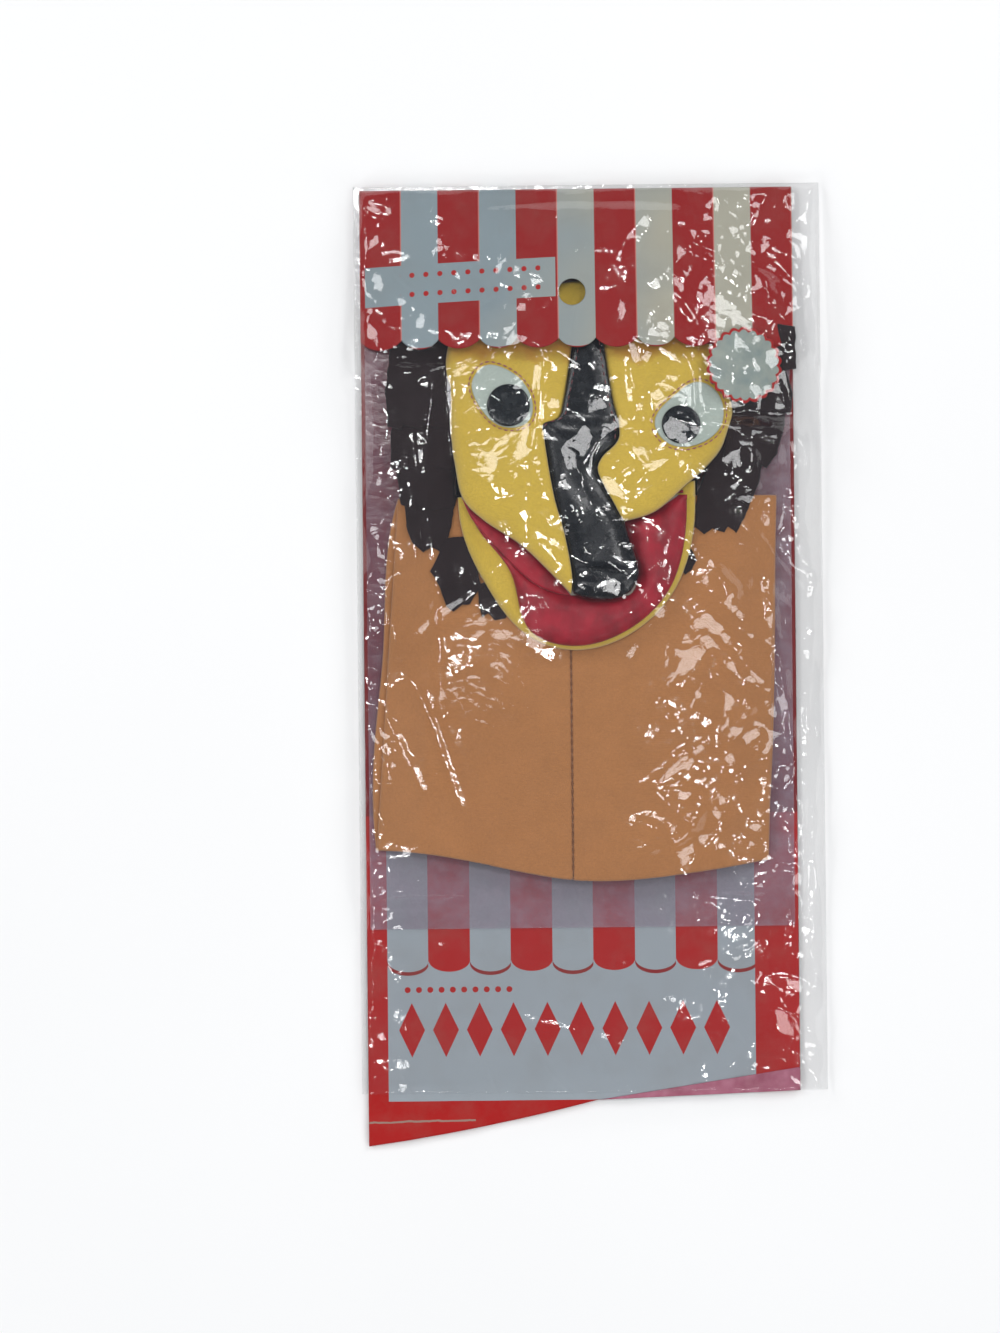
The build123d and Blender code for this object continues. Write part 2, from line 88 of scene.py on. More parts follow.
FACE_FALL = 0.23            # how fast the face sinks towards the crown
FELT, THIN_FELT, VINYL, SATIN_CLOTH, PRINTED_CARD, FILM = 1.2, 0.8, 0.6, 0.6, 0.5, 0.1     # thicknesses
RED_STRIPE, WHITE_STRIPE = 12.5, 11.0
AWNING_PITCH = 24.85        # of the stripes printed on the card
AWNING_LEFT, AWNING_RIGHT = -62.1, 48.5
AWNING_FOOT, AWNING_SCALLOP = -88.5, 3.5
FIELD_FOOT, PANEL_FOOT = -45, -130.9


# ---- outlines -----------------------------------------------------------------------------------
def curve(points, step=0.9):
    """Points along a smooth open line through the given ones."""
    p = np.array([points[0], *points, points[-1]], float)
    out = []
    for a, b, c, d in zip(p, p[1:], p[2:], p[3:]):
        n = max(1, round(math.dist(b, c) / step))
        for t in np.arange(n) / n:
            out.append(0.5 * (2 * b + (c - a) * t + (2 * a - 5 * b + 4 * c - d) * t**2
                              + (3 * b - a - 3 * c + d) * t**3))
    return np.array([*out, p[-1]])


def split_runs(points, step=0.9):
    """A closed outline with its long runs divided."""
    out = []
    for a, b in zip(points, np.roll(points, -1, 0)):
        n = max(1, round(math.dist(a, b) / step))
        out += [a + (b - a) * i / n for i in range(n)]
    return np.array(out)


def cad_outlines(node):
    """The closed outlines of a CAD node seen from above, the outer one first and then its holes."""
    mesh = frame["nodes"][node].data
    spots, directed = {}, set()
    for face in mesh.polygons:
        if face.normal.z > 0.3:
            loop = [tuple((mesh.vertices[i].co.xy / MM).to_tuple(2)) for i in face.vertices]
            loop = [spots.setdefault(spot, len(spots)) for spot in loop]
            directed |= {(a, b) for a, b in zip(loop, loop[1:] + loop[:1]) if a != b}
    rim = {a: b for a, b in directed if (b, a) not in directed}
    places = np.array(list(spots))
    loops = []
    while rim:
        start, at = rim.popitem()
        chain = [start]
        while at != start and at in rim:
            chain.append(at)
            at = rim.pop(at)
        if len(chain) > 2:
            loops.append(places[chain])
    loops.sort(key=lambda loop: -np.ptp(loop[:, 0]))
    return [split_runs(loop) for loop in loops]


def top_of(node):
    """A function that gives the height of a CAD node's upper side over any point."""
    mesh = frame["nodes"][node].data
    tree = BVHTree.FromPolygons([v.co for v in mesh.vertices], [p.vertices[:] for p in mesh.polygons])
    above, inward = 0.1, 0.15 * MM
    middle = sum(box(node))[2] / 2 * MM

    def level(a, b):
        hit = tree.ray_cast((a, b, above), (0, 0, -1))[0]
        if not hit:                              # on the rim or past it
            side, normal, *_ = tree.find_nearest((a, b, middle))
            a, b, _ = side - normal * inward
            hit = tree.ray_cast((a, b, above), (0, 0, -1))[0] or side
        return hit.z

    def height(x, y, d=None):
        return np.array([level(a, b) for a, b in zip(x * MM, y * MM)]) / MM

    return height


def scalloped_ring(centre, radius, teeth, depth, count=12):
    """A closed circle whose rim is cut into rounded teeth."""
    turns = np.arange(teeth * count) * 2 * math.pi / (teeth * count)
    reach = radius - depth * (1 - np.abs(np.sin(turns * teeth / 2)))
    return np.column_stack([centre[0] + reach * np.cos(turns), centre[1] + reach * np.sin(turns)])


def inside(points, outline):
    """True for each point that lies within the closed outline."""
    x, y = points[:, 0], points[:, 1]
    hit = np.zeros(len(points), bool)
    for (ax, ay), (bx, by) in zip(outline, np.roll(outline, -1, 0)):
        if ay != by:
            hit ^= ((ay > y) != (by > y)) & (x < (bx - ax) * (y - ay) / (by - ay) + ax)
    return hit


def distance(points, outline, closed=True):
    """How far each point is from the outline."""
    best = np.full(len(points), 1e9)
    ends = np.roll(outline, -1, 0) if closed else outline[1:]
    for a, b in zip(outline, ends):
        run = b - a
        t = np.clip((points - a) @ run / max(run @ run, 1e-12), 0, 1)
        best = np.minimum(best, np.hypot(*(points - a - t[:, None] * run).T))
    return best


# ---- relief -------------------------------------------------------------------------------------
def ripples(x, y, size, seed, waves=7):
    """Soft random relief between about -1 and 1, whose hills are about this size."""
    rng = np.random.RandomState(seed)
    total = 0
    for _ in range(waves):
        turn, phase = rng.uniform(0, 2 * math.pi, 2)
        k = 2 * math.pi / (size * rng.uniform(0.7, 1.9))
        total = total + np.sin((x * math.cos(turn) + y * math.sin(turn)) * k + phase)
    return total / waves**0.5 / 1.5


def crumple(x, y, size, seed):
    """Relief of crumpled film, from 0 to about 1: shallow dishes that meet in sharp creases."""
    rng = np.random.RandomState(seed)
    cells = 64
    jitter = rng.uniform(0.1, 0.9, (cells, cells, 2))
    u, v = x / size, y / size
    best = np.full(np.shape(x), 9.0)
    for i in (-1, 0, 1):
        for j in (-1, 0, 1):
            cu, cv = np.floor(u) + i, np.floor(v) + j
            spot = jitter[cu.astype(int) % cells, cv.astype(int) % cells]
            best = np.minimum(best, (u - cu - spot[..., 0])**2 + (v - cv - spot[..., 1])**2)
    return best


def facets(x, y, size, seed):
    """Relief of creased film: flat facets between straight folds that come and go."""
    rng = np.random.RandomState(seed)
    total, crest = 0, 0.07
    for i in range(5):
        turn, start = rng.uniform(0, math.pi), rng.uniform()
        pitch = size * rng.uniform(0.7, 1.6)
        across = (x * math.cos(turn) + y * math.sin(turn)) / pitch + start
        across = across + 0.2 * ripples(x, y, size * 3, seed + i + 1, 4)
        share = smooth_step(ripples(x, y, size * 2, seed + i + 11, 4), -0.2, 0.5)
        total = total + pitch * share * np.hypot(across - np.floor(across) - 0.5, crest)
    return total


def ridge(x, y, start, end, height, width):
    """A long rounded fold that dies out towards its two ends."""
    a, b = np.array(start, float), np.array(end, float)
    run = b - a
    t = np.clip(((x - a[0]) * run[0] + (y - a[1]) * run[1]) / (run @ run), 0, 1)
    away = np.hypot(x - a[0] - t * run[0], y - a[1] - t * run[1])
    return height * np.clip(1 - (away / width)**2, 0, 1)**2 * np.sqrt(np.clip(4 * t * (1 - t) + 0.02, 0, 1))


def dome(d, reach):
    """A round rise from 0 at an edge to 1 at this reach inside it."""
    return np.sqrt(1 - (1 - np.clip(d / reach, 0, 1))**2)


def roll(d, reach, drop):
    """How far an edge that is rolled under has dropped at the distance d from it."""
    return drop * (1 - dome(d, reach))


def smooth_step(value, low, high):
    """An even rise from 0 to 1 between two values."""
    t = np.clip((value - low) / (high - low), 0, 1)
    return t * t * (3 - 2 * t)


# ---- meshes -------------------------------------------------------------------------------------
def mesh_object(name, verts, faces):
    """A new smooth object with its place in its mesh."""
    mesh = bpy.data.meshes.new(name)
    mesh.from_pydata((np.array(verts) * MM).tolist(), [], faces)
    mesh.validate()
    mesh.polygons.foreach_set("use_smooth", [True] * len(mesh.polygons))
    mesh.update()
    piece = bpy.data.objects.new(name, mesh)
    bpy.context.scene.collection.objects.link(piece)
    return piece


def cut_piece(name, loops, height, thickness, spacing=1.6, edge=None):
    """A closed sheet cut to the outlines, with a rounded cut edge.

    height(x, y, d) gives its upper side, where d is the distance from the cut edge.
    """
    edge = edge or thickness * 0.6
    loops = [np.array(loop, float) for loop in loops]

    def from_cut(spots):
        return np.min([distance(spots, loop) for loop in loops], 0)

    def within(spots):
        keep = inside(spots, loops[0])
        for hole in loops[1:]:
            keep &= ~inside(spots, hole)
        return keep

    low, high = loops[0].min(0), loops[0].max(0)
    gx, gy = np.meshgrid(np.arange(low[0], high[0], spacing), np.arange(low[1], high[1], spacing * 0.87))
    gx[1::2] += spacing / 2
    grid = np.column_stack([gx.ravel(), gy.ravel()])
    inner = edge * 2.2
    rings, segments, start = [], [], 0
    for loop in loops:
        run = np.roll(loop, -1, 0) - np.roll(loop, 1, 0)
        normal = np.column_stack([-run[:, 1], run[:, 0]]) / np.maximum(np.hypot(*run.T), 1e-9)[:, None]
        for away in (edge * 0.3, edge, inner):
            near = np.vstack([loop + normal * away, loop - normal * away])
            rings.append(near[from_cut(near) > away * 0.9])
        n = len(loop)
        segments += [(start + i, start + (i + 1) % n) for i in range(n)]
        start += n
    points = np.vstack([*rings, grid[from_cut(grid) > inner + spacing * 0.45]])
    points = np.vstack([*loops, points[within(points)]])
    flat, _, faces, *_ = delaunay_2d_cdt([tuple(p) for p in points], segments, [], 0, 1e-4)
    flat, faces = np.array([tuple(v) for v in flat]), np.array(faces)
    a, b, c = (flat[corner] for corner in faces.T)
    turn = (b[:, 0] - a[:, 0]) * (c[:, 1] - a[:, 1]) - (b[:, 1] - a[:, 1]) * (c[:, 0] - a[:, 0])
    faces[turn < 0] = faces[turn < 0][:, ::-1]
    faces = faces[within((a + b + c) / 3) & (abs(turn) > 1e-6)]
    used, faces = np.unique(faces, return_inverse=True)
    flat, faces = flat[used], faces.reshape(-1, 3)
    d = from_cut(flat)
    half = thickness / 2
    middle = height(flat[:, 0], flat[:, 1], d) - half
    swell = half * dome(d, edge)
    upper, lower = (np.column_stack([flat, z]) for z in (middle + swell, middle - swell))
    rim = d < 1e-3
    below = np.where(rim, np.arange(len(flat)), np.cumsum(~rim) - 1 + len(flat))
    under = below[faces][:, ::-1]
    return mesh_object(name, np.vstack([upper, lower[~rim]]), [*faces.tolist(), *under.tolist()])


def stitches(name, path, height, length, gap, radius):
    """Short arched stitches of thread laid along an open path, as one mesh."""
    steps = np.hypot(*np.diff(path, axis=0).T)
    along = np.concatenate([[0], np.cumsum(steps)])
    verts, faces = [], []
    sides, rings = 6, 5
    for start in np.arange(0, along[-1] - length, length + gap):
        s = start + length * np.linspace(0, 1, rings)
        x, y = (np.interp(s, along, path[:, axis]) for axis in (0, 1))
        arch = np.sin(np.linspace(0.12, math.pi - 0.12, rings))
        z = height(x, y, None) + radius * (arch * 1.4 - 0.6)
        heading = math.atan2(y[-1] - y[0], x[-1] - x[0])
        first = len(verts)
        for i in range(rings):
            for turn in np.arange(sides) * 2 * math.pi / sides:
                side, up = radius * arch[i] * math.cos(turn), radius * arch[i] * math.sin(turn)
                verts.append((x[i] - side * math.sin(heading), y[i] + side * math.cos(heading), z[i] + up))
        for i in range(rings - 1):
            for k in range(sides):
                a, b = first + i * sides + k, first + i * sides + (k + 1) % sides
                faces.append((a, b, b + sides, a + sides))
        faces.append(tuple(first + k for k in range(sides))[::-1])
        faces.append(tuple(first + (rings - 1) * sides + k for k in range(sides)))
    return mesh_object(name, verts, faces)


# ---- materials ----------------------------------------------------------------------------------
class Value:
    """A number in a material's nodes, with the usual arithmetic."""

    def __init__(self, paint, socket):
        self.paint, self.socket = paint, socket

    def ramp(self, low, high, to_low=0, to_high=1):
        """This number carried from one range to another, held at the ends."""
        node = self.paint.fed("ShaderNodeMapRange", self, low, high, to_low, to_high)
        return Value(self.paint, node.outputs[0])

    def root(self):
        return self.at_least(0).square_root()

    def between(self, low, high):
        return (self > low) & (self < high)


def arithmetic(operation):
    """A method that gives what this operation makes of the value and of any others."""
    def result(self, *others):
        node = self.paint.fed("ShaderNodeMath", self, *others, operation=operation)
        return Value(self.paint, node.outputs[0])

    return result


OPERATIONS = {
    "__add__": "ADD", "__sub__": "SUBTRACT", "__mul__": "MULTIPLY", "__truediv__": "DIVIDE",
    "__gt__": "GREATER_THAN", "__lt__": "LESS_THAN", "__and__": "MULTIPLY", "__or__": "MAXIMUM",
    "__abs__": "ABSOLUTE", "share": "FRACT", "sine": "SINE", "at_least": "MAXIMUM", "square_root": "SQRT",
    "angle": "ARCTAN2"}
for method, operation in OPERATIONS.items():
    setattr(Value, method, arithmetic(operation))


class Paint:
    """A material being made."""

    def __init__(self, name):
        self.material = bpy.data.materials.new(name)
        self.material.use_nodes = True
        self.tree = self.material.node_tree
        self.shader = self.tree.nodes["Principled BSDF"]
        self.output = self.tree.nodes["Material Output"]
        self.place = self.node("ShaderNodeTexCoord").outputs["Object"]

    def node(self, kind, **settings):
        node = self.tree.nodes.new(kind)
        for name, value in settings.items():
            setattr(node, name, value)
        return node

    def feed(self, socket, source):
        """Gives a socket a number, a colour of three numbers, or what comes out of another socket."""
        if isinstance(source, (int, float)):
            socket.default_value = source
        elif isinstance(source, tuple):
            socket.default_value = (*source, 1)
        else:
            self.tree.links.new(source.socket if isinstance(source, Value) else source, socket)

    def fed(self, kind, *sources, **settings):
        """A new node with its first sockets fed."""
        node = self.node(kind, **settings)
        for socket, source in zip(node.inputs, sources):
            self.feed(socket, source)
        return node

    def axes(self):
        """The place on the object along X, Y and Z, in millimetres."""
        return [Value(self, out) / MM for out in self.fed("ShaderNodeSeparateXYZ", self.place).outputs]

    def pattern(self, kind, size, stretch, **settings):
        """A texture whose features have this size in millimetres, stretched along each axis."""
        places = self.fed("ShaderNodeVectorMath", self.place, operation="MULTIPLY")
        places.inputs[1].default_value = [1 / (size * s * MM) for s in stretch]
        node = self.node(kind, **settings)
        self.feed(node.inputs["Vector"], places.outputs[0])
        node.inputs["Scale"].default_value = 1
        return node

    def noise(self, size, detail=3, rough=0.5, stretch=(1, 1, 1)):
        """Cloudy noise, mostly from 0.3 to 0.7, with features of this size."""
        node = self.pattern("ShaderNodeTexNoise", size, stretch)
        node.inputs["Detail"].default_value = detail
        node.inputs["Roughness"].default_value = rough
        return Value(self, node.outputs["Fac"])

    def cracks(self, size, stretch=(1, 1, 1)):
        """Distances from the borders of a random cell pattern with cells of this size."""
        node = self.pattern("ShaderNodeTexVoronoi", size, stretch, feature="DISTANCE_TO_EDGE")
        return Value(self, node.outputs["Distance"])

    def mix(self, share, first, second):
        """A colour between two, each of which is three numbers or an earlier mix."""
        node = self.node("ShaderNodeMix", data_type="RGBA")
        for at, source in ((0, share), (6, first), (7, second)):
            self.feed(node.inputs[at], source)
        return node.outputs[2]

    def bump(self, relief, depth, strength, shader):
        """Fine relief on a shader, whose full depth is given in millimetres."""
        node = self.node("ShaderNodeBump")
        for name, source in (("Strength", strength), ("Distance", depth * MM), ("Height", relief)):
            self.feed(node.inputs[name], source)
        self.feed(shader.inputs["Normal"], node.outputs[0])

    def finish(self, colour, roughness, relief=None, depth=0, strength=0.6, **constants):
        """The material, once its colour, its roughness, its fine relief and its constants are set."""
        self.feed(self.shader.inputs["Base Color"], colour)
        self.feed(self.shader.inputs["Roughness"], roughness)
        for name, value in constants.items():
            self.shader.inputs[name.replace("_", " ").title().replace("Ior", "IOR")].default_value = value
        if relief:
            self.bump(relief, depth, strength, self.shader)
        return self.material


def tint(rgb, by):
    """The colour made lighter or darker."""
    return tuple(min(1.0, c * by) for c in rgb)


def srgb(*numbers):
    """A colour in linear light from its usual 0 to 255 numbers."""
    shares = (number / 255 for number in numbers)
    return tuple(c / 12.92 if c < 0.0408 else ((c + 0.055) / 1.055)**2.4 for c in shares)


def felt(name, rgb, mottle=0.22, weave=0.0, fuzz=0.35, painted_shade_above=None):
    """Pressed wool: cloudy colour, short tangled fibres, a soft sheen, and an optional band of painted shade.
    """
    paint = Paint(name)
    clouds = paint.noise(9, 4, 0.6)
    fibres = paint.noise(0.45, 4, 0.7, (2.4, 0.7, 1)) * 0.5 + paint.noise(0.4, 4, 0.7, (0.7, 2.2, 1)) * 0.5
    worn = paint.mix(clouds.ramp(0.3, 0.7), tint(rgb, 1 - mottle), tint(rgb, 1 + mottle * 0.6))
    hair = paint.mix(fibres.ramp(0.36, 0.62), tint(rgb, 0.72), tint(rgb, 1.2))
    colour = paint.mix(paint.noise(2.2).ramp(0.3, 0.7, 0.35, 0.6), worn, hair)
    # painted shade: an orange-brown band on the felt just below the header flap's edge, where its shade falls
    if painted_shade_above:
        reach = paint.axes()[1] + (clouds - 0.5) * 14
        painted_shade = reach.ramp(painted_shade_above, painted_shade_above + 5, 0, 0.8)
        painted_shade = painted_shade * reach.ramp(painted_shade_above + 11, painted_shade_above + 14, 1, 0)
        colour = paint.mix(painted_shade, colour, tuple(c * k for c, k in zip(rgb, (0.7, 0.4, 0.3))))
    relief = fibres + paint.noise(0.9, 2, 0.5, (5, 0.5, 1)) * weave
    return paint.finish(colour, fibres.ramp(0.3, 0.7, 0.82, 1), relief, 0.16, sheen_weight=fuzz,
                        sheen_roughness=0.6, specular_ior_level=0.2)


def vinyl(name, rgb):
    """Thin glossy vinyl with stress creases."""
    paint = Paint(name)
    scuffs = paint.noise(3, 5, 0.7)
    colour = paint.mix(scuffs.ramp(0.45, 0.75), rgb, tint(rgb, 1.8))
    relief = paint.noise(0.5, 3, 0.6) * 0.03 + paint.cracks(4.5, (1, 1.5, 1)).ramp(0, 0.12) * 0.15
    relief = relief + paint.noise(7, 2) * 0.8
    return paint.finish(colour, scuffs.ramp(0.35, 0.7, 0.2, 0.36), relief, 0.2, coat_weight=0.1,
                        coat_roughness=0.15, specular_ior_level=0.35)


def satin(name, rgb):
    """Shiny cloth with a fine diagonal float weave."""
    paint = Paint(name)
    x, y, _ = paint.axes()
    twill = ((x + y) * 14.0).sine() * 0.5 + 0.5
    folds = paint.noise(5, 3, 0.5, (1, 1.6, 1))
    # painted shade and highlight: the colour follows the fold relief, darker in the hollows and lighter on
    # the crests
    colour = paint.mix(folds.ramp(0.35, 0.65), tint(rgb, 0.72), tint(rgb, 1.2))
    return paint.finish(colour, paint.noise(1.5, 3).ramp(0.3, 0.7, 0.3, 0.5), twill * 0.12 + folds, 0.5, 0.5,
                        sheen_weight=0.15, sheen_roughness=0.35, specular_ior_level=0.35)


def thread(name, rgb):
    """Twisted cotton thread."""
    paint = Paint(name)
    strands = paint.noise(0.3, 2, 0.6, (1, 1, 3))
    colour = paint.mix(strands.ramp(0.3, 0.7), tint(rgb, 0.7), tint(rgb, 1.3))
    return paint.finish(colour, strands.ramp(0.3, 0.7, 0.55, 0.85), strands, 0.12, 0.7, sheen_weight=0.2)


def board(name, rgb):
    """Plain grey board with a fibrous cut edge."""
    paint = Paint(name)
    fibre = paint.noise(0.6, 4, 0.7, (2, 1, 0.4))
    colour = paint.mix(fibre.ramp(0.3, 0.7), tint(rgb, 0.8), tint(rgb, 1.12))
    return paint.finish(colour, fibre.ramp(0.3, 0.7, 0.75, 0.95), fibre, 0.1)


INK_RED = srgb(164, 24, 23)
HEADER_RED = srgb(144, 18, 18)
INK_DARK = srgb(132, 34, 36)
INK_WHITE = srgb(149, 157, 164)
INK_CREAM = srgb(168, 166, 151)
# the red of the field behind the puppet, made darker as painted shade under the bag's dome
FIELD_RED_PAINTED_SHADE = srgb(118, 24, 28)


def printed(paint, picture, crumpled=0.5):
    """Printed card, with its smudges, scuffs, worn creases and gloss."""
    smudge = paint.noise(14, 5, 0.65)
    picture = paint.mix(smudge.ramp(0.45, 0.75, 0, 0.16), picture, srgb(120, 112, 100))
    scuff = paint.noise(2.6, 6, 0.75, (1.8, 0.8, 1)).ramp(0.7, 0.76, 0, 0.65)
    picture = paint.mix(scuff, picture, srgb(96, 84, 72))
    relief = paint.cracks(16, (1, 1.4, 1)).ramp(0, 0.06) * crumpled + paint.noise(1.2, 3) * 0.25
    return paint.finish(picture, paint.noise(6, 4, 0.6).ramp(0.3, 0.7, 0.45, 0.7), relief, 0.12,
                        specular_ior_level=0.2)


def repeated(x, pitch):
    """The distance from the middle of the repeat that x lies in, from -pitch / 2 to pitch / 2."""
    return ((x / pitch).share() - 0.5) * pitch


def header_print():
    """The folded header: an awning of red and white stripes, and a plain banner with two rows of dots."""
    paint = Paint("header_print")
    x, y, _ = paint.axes()
    pitch, half = RED_STRIPE + WHITE_STRIPE, WHITE_STRIPE / 2
    phase = ((x - CARD_LOW[0]) / pitch).share() * pitch
    across = (phase - RED_STRIPE - half) / half
    foot = (across * across * -1 + 1).root() * -2.6 + 97.7
    white = (phase > RED_STRIPE) & (y > foot)
    lift = y - (x + 38) * 0.045 - 115
    banner = x.between(CARD_LOW[0] + 1.5, -9.5) & (abs(lift) < 6)
    picture = paint.mix(abs(phase - RED_STRIPE) < 0.3, HEADER_RED, srgb(190, 112, 104))
    # the white print runs from grey-blue at the left to cream at the right, with slow random change
    cream_toward_right = x / 90 + paint.noise(30, 1)
    tone = paint.mix(cream_toward_right.ramp(0.2, 0.8), srgb(134, 148, 154), INK_CREAM)
    picture = paint.mix(white | banner, picture, tone)
    spot, row = repeated(x, 4.2), abs(lift) - 2.9
    dots = (spot * spot + row * row < 0.62) & x.between(-56, -14)
    return printed(paint, paint.mix(dots & banner, picture, INK_RED), 1.0)


def card_print():
    """The back card: a plain field behind the puppet, painted a darker red as shade, an awning, and a panel
    with a row of diamonds.
    """
    paint = Paint("card_print")
    x, y, _ = paint.axes()
    phase = ((x - AWNING_LEFT) / AWNING_PITCH).share()
    half = (phase * 2).share() * 2 - 1
    scallop = (half * half * -1 + 1).root() * -AWNING_SCALLOP + AWNING_FOOT
    across = x.between(AWNING_LEFT, AWNING_RIGHT)
    white_stripe = phase < 0.494
    awning = across & (y < FIELD_FOOT) & (y > scallop)
    arc = across & white_stripe & (y < scallop) & (y > scallop - 1.1)
    panel = across & (y < scallop) & (y > PANEL_FOOT)
    # painted shade: above FIELD_FOOT the field is the darker red
    field = paint.mix(y > FIELD_FOOT, INK_RED, FIELD_RED_PAINTED_SHADE)
    picture = paint.mix((awning & white_stripe) | panel, field, INK_WHITE)
    picture = paint.mix(arc, picture, INK_DARK)
    diamond = abs(repeated(x + 60, 10.2)) * 2.1 + abs(y + 109.5) < 8.2
    spot, row = repeated(x, 3.4), y + 97.4
    dots = (spot * spot + row * row < 0.8) & x.between(-57.8, -24)
    ornament = (diamond & x.between(-60, 42)) | dots
    picture = paint.mix(ornament & panel, picture, INK_RED)
    fold = abs(y + 135.2 - x * 0.02 + paint.noise(6, 3) * 1.5) < 0.28
    return printed(paint, paint.mix(fold & (x < -36), picture, srgb(150, 120, 110)))


def roundel_print():
    """A white disc with a thin red line round its rounded teeth."""
    paint = Paint("roundel_print")
    x, y, _ = paint.axes()
    dx, dy = x - ROUNDEL[0], y - ROUNDEL[1]
    tooth = abs((dy.angle(dx) * (ROUNDEL_TEETH / 2)).sine())
    rim = tooth * ROUNDEL_TOOTH + (ROUNDEL_RADIUS - ROUNDEL_TOOTH - 0.9)
    outside = (dx * dx + dy * dy).root() > rim
    wash = paint.mix(paint.noise(5, 4, 0.6).ramp(0.3, 0.7), srgb(130, 144, 142), srgb(154, 162, 154))
    return printed(paint, paint.mix(outside, wash, INK_RED), 1.0)


def border_print():
    """The pink back of the border, where the card's print shows through."""
    paint = Paint("border_film")
    pink = paint.mix(paint.noise(4, 3).ramp(0.3, 0.7), srgb(150, 78, 100), srgb(176, 112, 132))
    return printed(paint, pink, 1.0)


def film(name, haze_rgb, haze, gloss_roughness, crinkle, left_rgb=None):
    """Thin clear film: what is behind shows through unbent, with sharp reflections and a little haze.

    The haze can have another colour at the upper left, where the photo's light is weaker.
    """
    paint = Paint(name)
    paint.tree.nodes.remove(paint.shader)
    kinds = ("Transparent", "Glossy", "Diffuse")
    clear, gloss, milk = (paint.node(f"ShaderNodeBsdf{kind}") for kind in kinds)
    paint.feed(milk.inputs["Color"], haze_rgb)
    if left_rgb:
        x, y, _ = paint.axes()
        paint.feed(milk.inputs["Color"], paint.mix((x < -45) & y.ramp(-40, 10), haze_rgb, left_rgb))
    facing = paint.node("ShaderNodeLayerWeight")
    facing.inputs["Blend"].default_value = 0.5
    tilt = Value(paint, facing.outputs["Facing"])
    mirrored = tilt * tilt * tilt * tilt * tilt * 0.96 + 0.04
    paint.feed(gloss.inputs["Roughness"],
               paint.noise(4, 3).ramp(0.3, 0.7, gloss_roughness * 0.6, gloss_roughness * 1.5))
    creases = paint.cracks(3.2, (1.3, 1, 1)).ramp(0, 0.25)
    paint.bump(creases * 0.6 + paint.noise(1.6, 2) * 0.5, crinkle, 1.0, gloss)
    clouded = paint.noise(8, 4, 0.6).ramp(0.3, 0.75, haze * 0.7, haze * 1.5)
    behind = paint.fed("ShaderNodeMixShader", clouded, clear.outputs[0], milk.outputs[0])
    top = paint.fed("ShaderNodeMixShader", mirrored, behind.outputs[0], gloss.outputs[0])
    paint.feed(paint.output.inputs["Surface"], top.outputs[0])
    return paint.material


TAN = felt("tan_felt", srgb(170, 115, 68), 0.12, 0.6, 0.25)
# the yellow face carries the band of painted shade under the header flap
YELLOW = felt("yellow_felt", srgb(202, 171, 62), 0.1, painted_shade_above=90)
BROWN = felt("brown_felt", srgb(36, 25, 28), 0.3, fuzz=0.08)
EYE_WHITE = felt("white_felt", srgb(170, 182, 174), 0.08)
PUPIL = vinyl("pupil_vinyl", srgb(12, 18, 24))
BLACK = vinyl("black_vinyl", srgb(10, 14, 20))
SATIN = satin("red_satin", srgb(150, 12, 36))
SEAM = thread("seam_thread", srgb(124, 78, 48))
RED_THREAD = thread("red_thread", srgb(110, 40, 46))
PINK_THREAD = thread("pink_thread", srgb(150, 76, 98))
GREY = board("grey_board", srgb(150, 144, 134))
HEADER_PRINT = header_print()
CARD_PRINT = card_print()
ROUNDEL_PRINT = roundel_print()
BORDER_PRINT = border_print()
CLEAR_FILM = film("clear_film", (0.8, 0.86, 0.95), 0.003, 0.07, 0.05)
HAZY_FILM = film("hazy_film", (0.4, 0.33, 0.42), 0.2, 0.2, 0.04, (0.25, 0.14, 0.2))


def coat(piece, material):
    """Paints a piece with one material."""
    piece.data.materials.clear()
    piece.data.materials.append(material)


def fasten(piece, material, body, *nodes):
    """Paints a piece and sets it on its body in place of the CAD nodes.

    The body "mouth" stands for the skin that runs from the head over the hinge to the muzzle.
    """
    coat(piece, material)
    if body == "mouth":
        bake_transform(piece)
    else:
        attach(piece, body)
    if nodes:
        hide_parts(*nodes)


def relaid(name, node, material, body, relief, thickness, spacing, *laid_on):
    """A CAD node's sheet cut again to its own outline, with relief(x, y, d) on its upper side."""
    upper = top_of(node)
    loops = cad_outlines(node)
    piece = cut_piece(name, loops, lambda x, y, d: upper(x, y) + relief(x, y, d), thickness, spacing)
    fasten(piece, material, body, node)


# ---- the card and its header --------------------------------------------------------------------
def build_card():
    def card_relief(x, y, d):
        worn = smooth_step(-y, 118, 134) * smooth_step(-x, -20, 40)
        return 0.12 * ripples(x, y, 60, 3) - 0.12 + 0.3 * worn * ripples(x, y * 2, 18, 4)

    def liner_relief(x, y, d):
        return 0.15 + 0.2 * crumple(x + 2 * ripples(x, y, 20, 8), y, 22, 9)

    def border_relief(x, y, d):
        return 0.25 * ripples(x, y, 9, 12) + 0.15 * crumple(x, y, 5, 13)

    relaid("display_card", "back_card", CARD_PRINT, "card", card_relief, 0.7, 2.2)
    relaid("liner_sheet", "liner_film", HAZY_FILM, "card", liner_relief, 0.12, 1.8, "display_card")
    relaid("turned_border_band", "turned_border", BORDER_PRINT, "card", border_relief, 0.4, 0.9)


FLAP_CREASES = [((-26, 112), (-38, 103), -0.5, 2.5), ((-66, 104), (-56, 99), -0.5, 3),
                ((22, 130), (36, 98), 0.35, 5), ((12, 118), (30, 112), -0.35, 4)]


